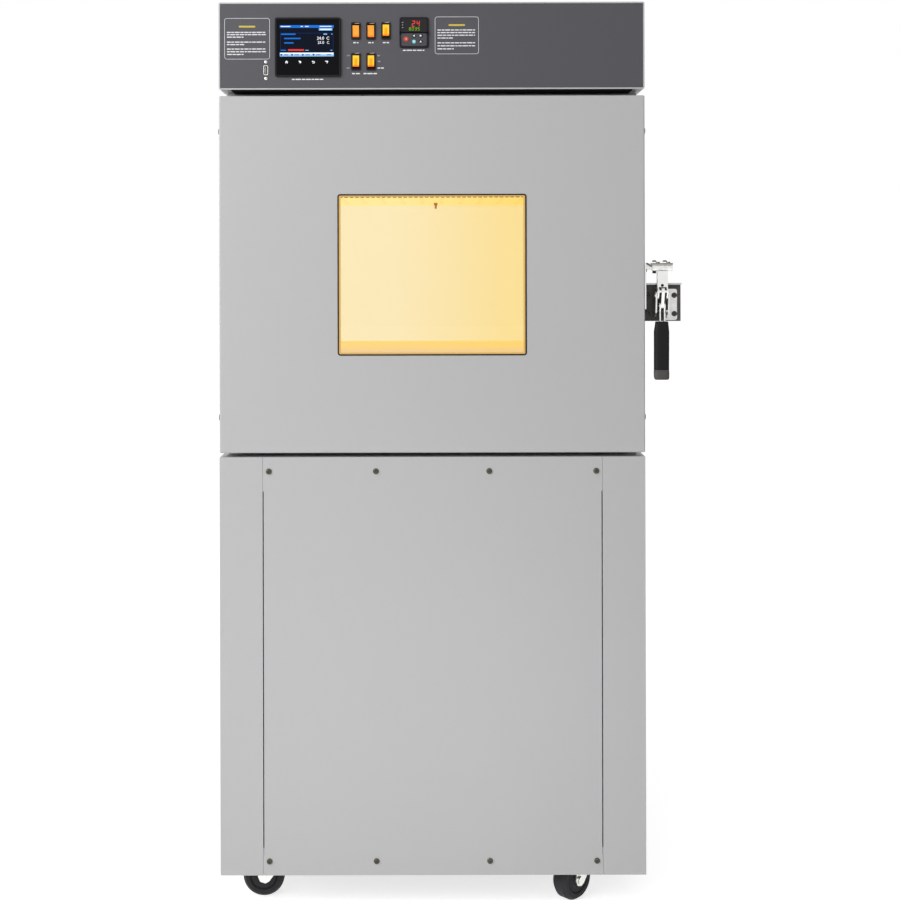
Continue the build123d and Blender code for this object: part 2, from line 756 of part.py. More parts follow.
def window_ring(outer_grow, inner_grow, y):
    """A frame round the window; grow is measured outwards from the opening's edge."""
    def slab(grow):
        return plate((-window_width / 2 - grow, window_width / 2 + grow), y,
                     (window_bottom - grow, window_top + grow), max(window_corner + grow, 1))
    return slab(outer_grow) - slab(inner_grow)


def window_slab(grow, y):
    return plate((-window_width / 2 - grow, window_width / 2 + grow), y,
                 (window_bottom - grow, window_top + grow), window_corner + grow)


def hinge_spans():
    """The z limits of the two hinges, centred on their three screws."""
    offset = hinge_screw_inset + hinge_screw_pitch
    return [(z - hinge_length / 2, z + hinge_length / 2) for z in (door_bottom + offset, door_top - offset)]


def door_skin():
    skin = block((-half_width, half_width), (0, door_depth), (door_bottom, door_top))
    front = skin.faces().sort_by(Axis.Y)[0].edges()
    along = skin.edges().filter_by(Axis.Y)
    skin = fillet(front + along, skin_bend)
    skin -= block((-half_width + sheet, half_width - sheet), (sheet, door_depth), (door_bottom + sheet, door_top - sheet))
    skin -= window_slab(0, (0, sheet))
    for side, x, z, large in door_screw_places():
        radius = screw_shank if large else 2.0
        skin -= rod_x((x - 2 * sheet, x + 2 * sheet), side_screw_y if side else keeper_y(), z, radius)
    return skin


def door_pan():
    half = half_width - sheet
    pan = block((-half, half), (door_depth - liner_sheet, door_depth), (door_bottom + sheet, door_top - sheet))
    inner_x = chamber_half + gasket_reach - 8
    z = (chamber_bottom - gasket_reach + 8, chamber_top + gasket_reach - 8)
    raised = block((-inner_x, inner_x), (door_depth - liner_sheet, door_depth + plug), z)
    raised -= block((-inner_x + liner_sheet, inner_x - liner_sheet), (door_depth - liner_sheet, door_depth + plug - liner_sheet),
                    (z[0] + liner_sheet, z[1] - liner_sheet))
    pan = pan - block((-inner_x, inner_x), (door_depth - liner_sheet, door_depth), z) + raised
    back = door_depth + plug
    pan -= window_slab(-trim_lip, (door_depth - liner_sheet, back))
    for low, high in hinge_spans():
        pan -= block((-half, -half + leaf + moving_gap), (door_depth - liner_sheet, door_depth), (low, high))
    spacer = window_ring(glass_lap, glass_lap - 4, (2 * sheet + glass, back - liner_sheet - glass))
    return Compound([pan, spacer])


def door_insulation():
    half = half_width - sheet - leaf - 2 * moving_gap
    fill = block((-half, half), (sheet, door_depth - liner_sheet), (door_bottom + sheet, door_top - sheet))
    return fill - window_slab(glass_lap + trim_lip, (0, door_depth))


def window_panes():
    outer = window_slab(glass_lap, (2 * sheet, 2 * sheet + glass))
    back = door_depth + plug - liner_sheet
    inner = window_slab(glass_lap, (back - glass, back))
    return Compound([outer, inner])


def window_trim():
    lip = window_ring(0, -trim_lip, (-0.6, sheet))
    seat = window_ring(glass_lap + trim_lip, -trim_lip, (sheet, 2 * sheet))
    return lip + seat


def door_gasket():
    outer_x = chamber_half + gasket_reach + gasket_width
    inner_x = chamber_half + gasket_reach
    y = (door_depth, body_front - moving_gap)
    low, high = chamber_bottom - gasket_reach, chamber_top + gasket_reach
    ring = block((-outer_x, outer_x), y, (low - gasket_width, high + gasket_width))
    ring -= block((-inner_x, inner_x), y, (low, high))
    bulb = ring.faces().sort_by(Axis.Y)[-1].edges()
    return chamfer(bulb, 3.0)


def keeper_y():
    return clamp_pivot_y + presser_shift + presser_radius - 4.0


def door_screw_places():
    """Side, x, z and size of each screw in the door's edges; side is 0 for the keeper's own screws."""
    places = []
    for side in (-1, 1):
        for edge, way in ((door_bottom, 1), (door_top, -1)):
            for index in range(3):
                z = edge + way * (hinge_screw_inset + index * hinge_screw_pitch)
                places.append((side, side * half_width, z, index == 1))
    for rise in spare_screw_rise:
        places.append((-1, -half_width, door_bottom + rise, False))
    for dz in (-14.0, 46.0):
        places.append((0, half_width, clamp_z + dz, False))
    return places


def door_screws():
    screws = []
    for side, x, z, large in door_screw_places():
        radius, height = side_screw_large if large else side_screw
        way = -1 if x < 0 else 1
        seat = x if side else x + keeper_sheet
        y = side_screw_y if side else keeper_y()
        radius = radius if side else 3.2
        height = height if side else 2.0
        head = (seat, seat + way * height)
        shank = (x - way * (sheet + leaf if side else sheet), seat)
        screws.append(rod_x((min(head), max(head)), y, z, radius)
                      + rod_x((min(shank), max(shank)), y, z, screw_shank if large else 2.0))
    return Compound(screws)


def hinge_door_leaves():
    leaves = []
    x = (-half_width + sheet, -half_width + sheet + leaf)
    for low, high in hinge_spans():
        middle = (low + high) / 2
        third = hinge_length / 6 - moving_gap
        barrel = rod_z(pin_x, pin_y, (middle - third, middle + third), knuckle_radius)
        strap_plate = block(x, (side_screw_y - 12, pin_y), (middle - third, middle + third))
        strap_plate += block(x, (side_screw_y - 12, door_depth), (low + moving_gap, high - moving_gap))
        strap_plate -= rod_z(pin_x, pin_y, (low, high), pin_radius + 1)
        piece = strap_plate + barrel - rod_z(pin_x, pin_y, (low, high), pin_radius + running_gap)
        for index in (-1, 0, 1):
            radius = screw_shank if index == 0 else 2.0
            piece -= rod_x((x[0] - 1, x[1] + 1), side_screw_y, middle + index * hinge_screw_pitch, radius)
        leaves.append(piece)
    return Compound(leaves)


def hinge_body_leaves():
    leaves = []
    x = (-body_half - leaf, -body_half)
    for low, high in hinge_spans():
        middle = (low + high) / 2
        third = hinge_length / 6
        barrel = rod_z(pin_x, pin_y, (low, high), knuckle_radius)
        wing = block(x, (pin_y - 4, pin_y + 46), (low, high)) + block((pin_x, -body_half), (pin_y + 2, pin_y + 4.5), (low, high))
        piece = barrel + wing
        clear = knuckle_radius + 2 * moving_gap
        piece -= block((pin_x - clear, pin_x + clear), (pin_y - clear, pin_y + clear), (middle - third, middle + third))
        leaves.append(piece + rod_z(pin_x, pin_y, (low, high), pin_radius))
    return Compound(leaves)


def door_keeper():
    y = (2.0, clamp_pivot_y + presser_shift + presser_radius + moving_gap + keeper_sheet)
    low, high = (clamp_z + rise for rise in keeper_height)
    side = block((half_width, half_width + keeper_sheet), y, (low, high))
    press_z = tuple(clamp_z + rise for rise in keeper_press_height)
    press = plate((half_width, clamp_x + presser_length / 2 - 3), (y[1] - keeper_sheet, y[1]), press_z, 2.0)
    tongue = block((half_width, clamp_x - presser_length / 2 - 1), (y[0] + 6, y[1]), (high - keeper_sheet, high))
    corner = block((half_width, clamp_x - presser_length / 2 - 1), (y[1] - keeper_sheet, y[1]), (press_z[0], high))
    keeper = side + press + tongue + corner
    for side_index, x, z, large in door_screw_places():
        if side_index == 0:
            keeper -= rod_x((x, x + keeper_sheet), keeper_y(), z, 2.0)
    return keeper


# Latch

def at_clamp(y, z):
    """Latch point in the cabinet's (y, z) from its place relative to the arm's pivot."""
    return clamp_pivot_y + y, clamp_z + z


def pair(section, band):
    """Two plates cut to one section, either side of the clamp's middle."""
    inner, outer = band
    right = from_side(section, (clamp_x + inner, clamp_x + outer))
    return right + from_side(section, (clamp_x - outer, clamp_x - inner))


def pin_through(point, x, radius):
    y, z = at_clamp(*point)
    return rod_x((clamp_x + x[0], clamp_x + x[1]), y, z, radius)


def clamp_screw_places():
    width, height = clamp_screws
    middle = clamp_z + 12.2 - clamp_flange[1] / 2
    return [(clamp_x + dx * width / 2, middle + dz * height / 2) for dx in (-1, 1) for dz in (-1, 1)]


def latch_bracket():
    """Folded bracket: front plate for the clamp, joggled leg down the body's side and a stiffening shelf."""
    left = half_width + 3.0
    right = clamp_x + bracket_right
    front = bracket_front_y
    z = (clamp_z - bracket_drop, clamp_z + bracket_rise)
    back = body_front + 8.0
    leg_sheet = folded([(body_half, back + bracket_leg), (body_half, back + bracket_joggle), (left, back), (left, front),
                        (right, front)], bracket_sheet)
    bracket = from_above(leg_sheet, z)
    bracket += block((left, right), (front - bracket_shelf, front), (z[1] - bracket_sheet, z[1]))
    holes = [rod_y(x, (front - 1, front + bracket_sheet + 1), height, 2.5) for x, height in clamp_screw_places()]
    return bracket - holes


def clamp_base():
    width, height, thick = clamp_flange
    y = (bracket_front_y - thick, bracket_front_y)
    z = (clamp_z + 12.2 - height, clamp_z + 12.2)
    flange = plate((clamp_x - width / 2, clamp_x + width / 2), y, z, 4.0)
    slot = (clamp_x - arm_band[1] - moving_gap, clamp_x + arm_band[1] + moving_gap)
    flange -= block(slot, y, (z[0] + 12, z[1] + 1))
    flange -= [rod_y(x, y, height, 2.5) for x, height in clamp_screw_places()]
    foot = Polyline((y[1] - clamp_pivot_y, z[0] + 2 - clamp_z), (y[1] - clamp_pivot_y, z[1] - 2 - clamp_z))
    edges = list(foot.edges())
    for point in ((0.0, 0.0), handle_pin):
        edges += (Pos(*point) * Circle(7.0)).edges()
    upright = Pos(clamp_pivot_y, clamp_z) * make_hull(edges)
    base = flange + pair(upright, upright_band)
    short = (arm_band[0] + moving_gap, upright_band[1] + 1.2)
    for x in (short, (-short[1], -short[0])):
        base += pin_through((0, 0), x, rivet)
    reach = upright_band[1] + 1.2
    return base + pin_through(handle_pin, (-reach, reach), rivet)


def clamp_arm():
    lower = strap((*at_clamp(0, 0), 6.2), (*at_clamp(*link_pin), 5.2))
    seat = arm_reach - presser_radius + presser_flat
    upper = strap((*at_clamp(0, 0), 6.2), (*at_clamp(presser_shift, seat - 4.0), 4.0))
    arm = pair(lower, arm_band) + pair(upper, arm_band)
    bridge_z = clamp_z + seat
    y = clamp_pivot_y + presser_shift
    arm += block((clamp_x - arm_band[1], clamp_x + arm_band[1]), (y - 5, y + 5), (bridge_z - 3, bridge_z))
    arm -= pin_through((0, 0), (-arm_band[1], arm_band[1]), rivet + running_gap)
    reach = arm_band[1] + 0.6
    return arm + pin_through(link_pin, (-reach, reach), rivet)


def clamp_presser():
    """Cross bar that bears on the keeper, with a strip on top and two screws through both."""
    half = presser_length / 2
    y = clamp_pivot_y + presser_shift
    z = clamp_z + arm_reach
    bar = rod_x((clamp_x - half, clamp_x + half), y, z, presser_radius)
    bar -= block((clamp_x - half, clamp_x + half), (y - 6, y + 6), (z - presser_radius, z - presser_radius + presser_flat))
    bar += block((clamp_x - half, clamp_x + half), (y - 5.5, y + 5.5), (z + presser_radius - 0.6, z + presser_radius + 3.4))
    for dx in (-9.5, 9.5):
        x = clamp_x + dx + 1.5
        bar += rod_z(x, y, (z + presser_radius + 3.4, z + presser_radius + 5.6), 3.6)
    return bar


def clamp_link():
    play = rivet + link_play
    top, low = at_clamp(*link_pin), at_clamp(*drive_pin)
    body = from_side(strap((*top, play + 2.4), (*low, 5.4)), (clamp_x - link_half, clamp_x + link_half))
    body -= pin_through(link_pin, (-link_half, link_half), play)
    return body - pin_through(drive_pin, (-link_half, link_half), rivet + running_gap)


def clamp_handle():
    end = (3.0, -grip_drop[0] - 30.0)
    plates = pair(strap((*at_clamp(*handle_pin), 6.0), (*at_clamp(*drive_pin), 6.0)), handle_band)
    plates += pair(strap((*at_clamp(*handle_pin), 6.0), (*at_clamp(*end), 5.0)), handle_band)
    plates -= pin_through(handle_pin, (-handle_band[1], handle_band[1]), rivet + running_gap)
    reach = handle_band[1] + 0.8
    return plates + pin_through(drive_pin, (-reach, reach), rivet)


def clamp_grip():
    """Moulded grip, narrow at the neck, with a flared end that kicks forward."""
    start, end = grip_drop
    length = end - start
    stations = ((0.0, 3.0, 26.0, 14.0), (0.09, 3.0, 31.0, 18.0), (0.5, 2.0, 29.5, 20.0), (0.8, 0.0, 30.5, 20.0),
                (0.9, -3.0, 32.5, 21.0), (1.0, -7.0, 31.5, 19.0))
    sections = []
    for share, y, width, depth in stations:
        place = Pos(clamp_x, clamp_pivot_y + y, clamp_z - start - share * length)
        sections.append(place * RectangleRounded(width, depth, 5.5))
    return loft(sections, ruled=True) - clamp_handle()


def body_screws():
    """Screws that stay with the cabinet: access panel, clamp and hinge wings."""
    screws = []
    for x, z in panel_screw_places():
        screws.append(rod_y(x, (-screw_height, 0), z, screw_radius) + rod_y(x, (0, 3 * sheet), z, screw_shank))
    front = bracket_front_y - clamp_flange[2]
    for x, z in clamp_screw_places():
        screws.append(rod_y(x, (front - 3.2, front), z, 5.0) + rod_y(x, (front, bracket_front_y + bracket_sheet), z, 2.5))
    for low, high in hinge_spans():
        for index in (-1, 0, 1):
            z = (low + high) / 2 + index * hinge_screw_pitch
            screws.append(rod_x((-body_half - leaf - 2.2, -body_half - leaf), pin_y + 30, z, 4.5))
    return Compound(screws)


def build_nodes():
    nodes = {
        "base_frame": base_frame(), "lower_shell": lower_shell(), "access_panel": access_panel(),
        "rear_panel": rear_panel(), "body_screws": body_screws(), "upper_shell": upper_shell(),
        "insulation": insulation(), "liner": liner(), "breaker_frame": breaker_frame(),
        "rear_baffle": rear_baffle(), "ceiling_diffuser": ceiling_diffuser(), "shelf": shelf(),
        "shelf_runners": shelf_runners(), "chamber_fittings": chamber_fittings(),
        "blower_wheel": blower_wheel(), "blower_motor": blower_motor(), "plenum_coils": plenum_coils(),
        "condensing_unit": condensing_unit(), "condenser_fan": condenser_fan(),
        "console_box": console_box(), "faceplate": faceplate(), "touch_controller": touch_controller(),
        "limit_controller": limit_controller(), "panel_fittings": panel_fittings(),
        "door_skin": door_skin(), "door_pan": door_pan(), "door_insulation": door_insulation(),
        "window_panes": window_panes(), "window_trim": window_trim(), "door_gasket": door_gasket(),
        "door_screws": door_screws(), "hinge_door_leaves": hinge_door_leaves(),
        "hinge_body_leaves": hinge_body_leaves(), "door_keeper": door_keeper(),
        "latch_bracket": latch_bracket(), "clamp_base": clamp_base(), "clamp_arm": clamp_arm(),
        "clamp_presser": clamp_presser(), "clamp_link": clamp_link(), "clamp_handle": clamp_handle(),
        "clamp_grip": clamp_grip(),
    }
    for name in keys:
        nodes[name] = key(name)
    for number, (place, on) in enumerate(zip(switch_places(), switch_states), 1):
        nodes[f"rocker_{number}"] = rocker(place, on)
    nodes["caster_mounts"] = Compound([caster_mount(name) for name in caster_angles])
    for name in caster_angles:
        nodes[f"caster_fork_{name}"] = placed_caster(name, caster_fork())
        nodes[f"caster_wheel_{name}"] = placed_caster(name, caster_wheel())
    return nodes


nodes = build_nodes()
whole = Compound([shape for shape in nodes.values()]).bounding_box()
origin = Pos(-(whole.min.X + whole.max.X) / 2, -(whole.min.Y + whole.max.Y) / 2, -whole.min.Z)
os.makedirs("parts", exist_ok=True)
for name, shape in nodes.items():
    export_step(origin * shape, f"parts/{name}.step")
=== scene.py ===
"""Looks of the climate chamber: finishes, console prints, screens and rockers, screws, latch and studio."""

import json
import math

import bmesh
import bpy
from mathutils import Matrix, Vector


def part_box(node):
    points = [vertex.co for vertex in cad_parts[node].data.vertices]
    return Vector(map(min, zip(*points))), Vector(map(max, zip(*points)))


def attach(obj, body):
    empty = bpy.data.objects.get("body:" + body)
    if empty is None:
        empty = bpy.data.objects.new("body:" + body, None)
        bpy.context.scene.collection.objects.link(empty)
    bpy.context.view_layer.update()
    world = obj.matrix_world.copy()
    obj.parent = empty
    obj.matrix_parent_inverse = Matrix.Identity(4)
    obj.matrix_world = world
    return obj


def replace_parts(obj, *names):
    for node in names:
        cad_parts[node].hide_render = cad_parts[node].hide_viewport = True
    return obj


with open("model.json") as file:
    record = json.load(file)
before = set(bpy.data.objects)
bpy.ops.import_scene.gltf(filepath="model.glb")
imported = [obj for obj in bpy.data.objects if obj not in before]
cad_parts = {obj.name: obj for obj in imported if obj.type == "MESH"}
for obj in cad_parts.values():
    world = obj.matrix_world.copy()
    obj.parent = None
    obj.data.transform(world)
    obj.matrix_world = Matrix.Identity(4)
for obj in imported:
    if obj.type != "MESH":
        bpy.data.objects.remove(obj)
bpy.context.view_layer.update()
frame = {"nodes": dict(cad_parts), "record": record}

bl_info = {
    "name": "Climate chamber looks",
    "version": (1, 0, 0),
    "blender": (4, 5, 0),
    "location": "3D View > Sidebar > Chamber",
    "description": "Dresses the packed climate chamber with its finishes and small pieces",
    "category": "Object",
}

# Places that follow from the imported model, in metres
door_low, door_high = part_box("door_skin")
console_low, console_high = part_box("console_box")
face_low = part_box("faceplate")[0]
middle = (door_low.x + door_high.x) / 2
front = door_low.y
window_low, window_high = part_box("window_panes")

# How far the panes reach past the window's opening, and the distance under which two corners are one
window_lap = 0.010
weld = 1e-6
forward = Vector((0, -1, 0))


# Node and material helpers

def add_node(tree, kind, inputs=None, **settings):
    """Adds a node; each input takes a value or the socket that feeds it."""
    made = tree.nodes.new(kind)
    for key, value in settings.items():
        setattr(made, key, value)
    for key, value in (inputs or {}).items():
        if isinstance(value, bpy.types.NodeSocket):
            tree.links.new(value, made.inputs[key])
        else:
            made.inputs[key].default_value = value
    return made


def start_group(name, inputs, outputs):
    """A shader node group with its input and output nodes; inputs are (name, kind, default)."""
    group = bpy.data.node_groups.new(name, "ShaderNodeTree")
    for label, kind, default in inputs:
        socket = group.interface.new_socket(label, in_out="INPUT", socket_type=kind)
        socket.default_value = default
    for label, kind in outputs:
        group.interface.new_socket(label, in_out="OUTPUT", socket_type=kind)
    return group, group.nodes.new("NodeGroupInput").outputs, group.nodes.new("NodeGroupOutput").inputs


def noise(tree, coordinates, scale, detail=3.0, rough=0.5):
    values = {"Vector": coordinates, "Scale": scale, "Detail": detail, "Roughness": rough}
    return add_node(tree, "ShaderNodeTexNoise", values).outputs["Fac"]


def maths(tree, operation, first, second=0.0):
    return add_node(tree, "ShaderNodeMath", {0: first, 1: second}, operation=operation).outputs[0]


def ranged(tree, value, low, high, to_low, to_high):
    values = {"Value": value, "From Min": low, "From Max": high, "To Min": to_low, "To Max": to_high}
    return add_node(tree, "ShaderNodeMapRange", values).outputs["Result"]


def mixed(tree, share, first, second):
    made = add_node(tree, "ShaderNodeMix", data_type="RGBA")
    for index, value in ((0, share), (6, first), (7, second)):
        if isinstance(value, bpy.types.NodeSocket):
            tree.links.new(value, made.inputs[index])
        else:
            made.inputs[index].default_value = value
    return made.outputs[2]


def stretched(tree, coordinates, scale):
    values = {"Vector": coordinates, "Scale": scale}
    return add_node(tree, "ShaderNodeMapping", values, vector_type="POINT").outputs["Vector"]


def own_place(tree):
    """Coordinates that stay with the piece."""
    return add_node(tree, "ShaderNodeTexCoord").outputs["Object"]


def axes(tree, coordinates):
    """The X, Y and Z of coordinates, by name."""
    return add_node(tree, "ShaderNodeSeparateXYZ", {0: coordinates}).outputs


def toned(tree, tone, value):
    """A colour with its brightness multiplied by a value."""
    return add_node(tree, "ShaderNodeHueSaturation", {"Color": tone, "Value": value}).outputs["Color"]


def speckle_group():
    """Slow drift of tone over a sheet, and the fine grain of its coating."""
    group, given, out = start_group(
        "Coating grain",
        [("Color", "NodeSocketColor", (0.5, 0.5, 0.5, 1)), ("Drift", "NodeSocketFloat", 0.06),
         ("Grain Scale", "NodeSocketFloat", 900.0), ("Roughness", "NodeSocketFloat", 0.45)],
        [("Color", "NodeSocketColor"), ("Roughness", "NodeSocketFloat"), ("Height", "NodeSocketFloat")])
    place = own_place(group)
    slow = noise(group, place, 2.6, 2.0)
    fine = noise(group, place, given["Grain Scale"], 2.0)
    swing = maths(group, "MULTIPLY", maths(group, "SUBTRACT", slow, 0.5), given["Drift"])
    half_drift = maths(group, "MULTIPLY", given["Drift"], 0.5)
    speck = maths(group, "MULTIPLY", maths(group, "SUBTRACT", fine, 0.5), half_drift)
    value = maths(group, "ADD", maths(group, "ADD", swing, speck), 1.0)
    tinted = toned(group, given["Color"], value)
    uneven = maths(group, "MULTIPLY", maths(group, "SUBTRACT", noise(group, place, 14.0), 0.5), 0.12)
    group.links.new(tinted, out["Color"])
    group.links.new(maths(group, "ADD", given["Roughness"], uneven), out["Roughness"])
    group.links.new(fine, out["Height"])
    return group


def brushed_group():
    """Long fine scratches of ground sheet metal, along one direction."""
    group, given, out = start_group(
        "Brushed lines",
        [("Color", "NodeSocketColor", (0.6, 0.6, 0.6, 1)),
         ("Stretch", "NodeSocketVector", (8.0, 900.0, 900.0)),
         ("Contrast", "NodeSocketFloat", 0.2), ("Roughness", "NodeSocketFloat", 0.32)],
        [("Color", "NodeSocketColor"), ("Roughness", "NodeSocketFloat"), ("Height", "NodeSocketFloat")])
    place = own_place(group)
    lines = noise(group, stretched(group, place, given["Stretch"]), 1.0, 4.0, 0.7)
    cloud = noise(group, place, 9.0)
    swing = maths(group, "MULTIPLY", maths(group, "SUBTRACT", lines, 0.5), given["Contrast"])
    value = maths(group, "ADD", maths(group, "ADD", swing, 1.0),
                  maths(group, "MULTIPLY", maths(group, "SUBTRACT", cloud, 0.5), 0.1))
    tinted = toned(group, given["Color"], value)
    group.links.new(tinted, out["Color"])
    group.links.new(maths(group, "ADD", given["Roughness"], swing), out["Roughness"])
    group.links.new(lines, out["Height"])
    return group


def cells_group():
    """Fine grid of a liquid crystal screen, as a mask that is darker between the cells."""
    group, given, out = start_group(
        "Screen cells", [("Pitch", "NodeSocketFloat", 0.0004), ("Dip", "NodeSocketFloat", 0.25)],
        [("Mask", "NodeSocketFloat")])
    place = own_place(group)
    parts = axes(group, place)
    lines = []
    for axis in ("X", "Z"):
        share = maths(group, "FRACT", maths(group, "DIVIDE", parts[axis], given["Pitch"]))
        lines.append(maths(group, "GREATER_THAN", share, 0.22))
    both = maths(group, "MULTIPLY", lines[0], lines[1])
    dip = maths(group, "MULTIPLY", maths(group, "SUBTRACT", 1.0, both), given["Dip"])
    group.links.new(maths(group, "SUBTRACT", 1.0, dip), out["Mask"])
    return group


groups = {"grain": speckle_group(), "brushed": brushed_group(), "cells": cells_group()}


def place_group(tree, name, inputs):
    made = add_node(tree, "ShaderNodeGroup", node_tree=groups[name])
    for key, value in inputs.items():
        made.inputs[key].default_value = value
    return made.outputs


def start_material(name, **constants):
    """A material with a Principled shader, and its plain values."""
    made = bpy.data.materials.new(name)
    made.use_nodes = True
    shader = made.node_tree.nodes["Principled BSDF"]
    for key, value in constants.items():
        shader.inputs[key.replace("_", " ")].default_value = value
    return made, made.node_tree, shader.inputs


def link_bump(tree, inputs, height, strength, distance):
    bump = add_node(tree, "ShaderNodeBump", {"Height": height, "Strength": strength, "Distance": distance})
    tree.links.new(bump.outputs["Normal"], inputs["Normal"])


def coated(name, colour, roughness, drift=0.05, grain=900.0, bump=0.08, **constants):
    """Paint or moulded plastic: an even colour with slow drift and a fine grain."""
    made, tree, inputs = start_material(name, **constants)
    values = {"Color": (*colour, 1), "Drift": drift, "Grain Scale": grain, "Roughness": roughness}
    grain_out = place_group(tree, "grain", values)
    tree.links.new(grain_out["Color"], inputs["Base Color"])
    tree.links.new(grain_out["Roughness"], inputs["Roughness"])
    link_bump(tree, inputs, grain_out["Height"], bump, 0.0002)
    return made


def metal(name, colour, roughness, stretch, contrast=0.2, bump=0.05, **constants):
    """Bare or plated metal with fine lines."""
    made, tree, inputs = start_material(name, Metallic=1.0, **constants)
    values = {"Color": (*colour, 1), "Stretch": stretch, "Contrast": contrast, "Roughness": roughness}
    lines = place_group(tree, "brushed", values)
    tree.links.new(lines["Color"], inputs["Base Color"])
    tree.links.new(lines["Roughness"], inputs["Roughness"])
    link_bump(tree, inputs, lines["Height"], bump, 0.0002)
    return made


def glowing(name, colour, cells=False, drift=0.0):
    """Lit screen or digit: a colour that shines by itself, with a fine grid of cells if asked."""
    made, tree, inputs = start_material(name, Roughness=0.35, Specular_IOR_Level=0.05)
    inputs["Base Color"].default_value = (*[part * 0.25 for part in colour], 1)
    inputs["Emission Color"].default_value = (*colour, 1)
    inputs["Emission Strength"].default_value = 1.0
    place = own_place(tree)
    soft = ranged(tree, noise(tree, place, 60.0), 0.0, 1.0, 1.0 - drift, 1.0 + drift)
    if cells:
        soft = maths(tree, "MULTIPLY", soft, place_group(tree, "cells", {})["Mask"])
    shade = toned(tree, (*colour, 1), soft)
    tree.links.new(shade, inputs["Emission Color"])
    return made


def clear_glass(name, tint, ior):
    """A clear pane, with a faint unevenness of its tint."""
    made, tree, inputs = start_material(name, Roughness=0.0, IOR=ior, Transmission_Weight=1.0)
    place = own_place(tree)
    faint = ranged(tree, noise(tree, place, 30.0), 0.0, 1.0, 0.985, 1.0)
    shade = toned(tree, (*tint, 1), faint)
    tree.links.new(shade, inputs["Base Color"])
    return made


def lit_steel(name, near, far, axis, limits, streaks, dark_front=None):
    """Ground steel inside the chamber with its warm lamp's light painted in as glow, from one tone to another
    along an axis.

    In front of dark_front, a place along Y, the steel has a painted shadow.
    """
    made, tree, inputs = start_material(name, Roughness=0.45, Metallic=0.0)
    # Painted lamp light: the steel glows in place of the chamber lamp's light.
    inputs["Emission Strength"].default_value = 0.8
    place = own_place(tree)
    parts = axes(tree, place)
    share = ranged(tree, parts[axis], *limits, 0.0, 1.0)
    tone = mixed(tree, share, (*near, 1), (*far, 1))
    lines = noise(tree, stretched(tree, place, (3.0, 260.0, 260.0)), 1.0, 3.0, 0.6)
    value = ranged(tree, lines, 0.0, 1.0, 1.0 - streaks, 1.0 + streaks)
    tone = toned(tree, tone, value)
    if dark_front is not None:
        # Painted shadow: dark in front of dark_front.
        edge = maths(tree, "LESS_THAN", parts["Y"], dark_front)
        shadow = (0.004, 0.0035, 0.003, 1)
        tone = mixed(tree, edge, tone, shadow)
    base = toned(tree, tone, 0.22)
    tree.links.new(base, inputs["Base Color"])
    tree.links.new(tone, inputs["Emission Color"])
    link_bump(tree, inputs, lines, 0.05, 0.0002)
    return made


# Mesh helpers

def rounded(low, high, radius, steps=5):
    """Outline of a rounded rectangle in (x, z), anticlockwise."""
    points = []
    corners = ((high[0] - radius, high[1] - radius, 0), (low[0] + radius, high[1] - radius, 90),
               (low[0] + radius, low[1] + radius, 180), (high[0] - radius, low[1] + radius, 270))
    for x, z, start in corners:
        for step in range(steps + 1):
            angle = math.radians(start + 90 * step / steps)
            points.append((x + radius * math.cos(angle), z + radius * math.sin(angle)))
    return points


def oblong(x, z):
    """The four corners between limits in x and z, anticlockwise."""
    return [(x[0], z[0]), (x[1], z[0]), (x[1], z[1]), (x[0], z[1])]


def upright(points, y):
    return [Vector((x, y, z)) for x, z in points]


def add_slab(mesh, points, y, thickness):
    """A flat shape facing the front at y, with its edge going back by its thickness."""
    near = [mesh.verts.new(point) for point in upright(points, y)]
    far = [mesh.verts.new(point) for point in upright(points, y + thickness)]
    mesh.faces.new(near)
    mesh.faces.new(list(reversed(far)))
    for index in range(len(points)):
        after = (index + 1) % len(points)
        mesh.faces.new((near[after], near[index], far[index], far[after]))


def add_ring(mesh, outer, inner, y, thickness):
    """A flat frame between two outlines with the same number of points."""
    rows = [[mesh.verts.new(point) for point in upright(outline, depth)]
            for outline, depth in ((outer, y), (inner, y), (inner, y + thickness), (outer, y + thickness))]
    count = len(outer)
    for index in range(count):
        after = (index + 1) % count
        for row, follow in ((0, 1), (1, 2), (2, 3), (3, 0)):
            mesh.faces.new((rows[row][index], rows[row][after], rows[follow][after], rows[follow][index]))


def add_bar(mesh, x, z, y, thickness, radius=None):
    """A small printed bar with round ends between limits in x and z."""
    radius = radius or 0.45 * min(x[1] - x[0], z[1] - z[0])
    add_slab(mesh, rounded((x[0], z[0]), (x[1], z[1]), radius, 3), y, thickness)


def add_turned(mesh, profile, place, steps=32):
    """A turned shape: profile points (radius, height) round the place's own z axis."""
    rings = []
    for radius, height in profile:
        if radius < weld:
            rings.append([mesh.verts.new(place @ Vector((0, 0, height)))])
            continue
        ring = []
        for step in range(steps):
            angle = 2 * math.pi * step / steps
            corner = Vector((radius * math.cos(angle), radius * math.sin(angle), height))
            ring.append(mesh.verts.new(place @ corner))
        rings.append(ring)
    for low, high in zip(rings, rings[1:]):
        for step in range(steps):
            after = (step + 1) % steps
            quad = [low[step % len(low)], low[after % len(low)],
                    high[after % len(high)], high[step % len(high)]]
            corners = list(dict.fromkeys(quad))
            if len(corners) > 2:
                mesh.faces.new(corners)


def facing(place, direction):
    """Matrix that puts the z axis along a direction at a place."""
    turn = direction.to_track_quat("Z", "Y").to_matrix().to_4x4()
    return Matrix.Translation(place) @ turn


def make_piece(name, mesh, material, body, smooth_angle=35.0):
    """Turns a bmesh into a piece of the object that rides on a body."""
    bmesh.ops.recalc_face_normals(mesh, faces=mesh.faces)
    data = bpy.data.meshes.new(name)
    mesh.to_mesh(data)
    mesh.free()
    return place_mesh(name, data, material, body, smooth_angle)


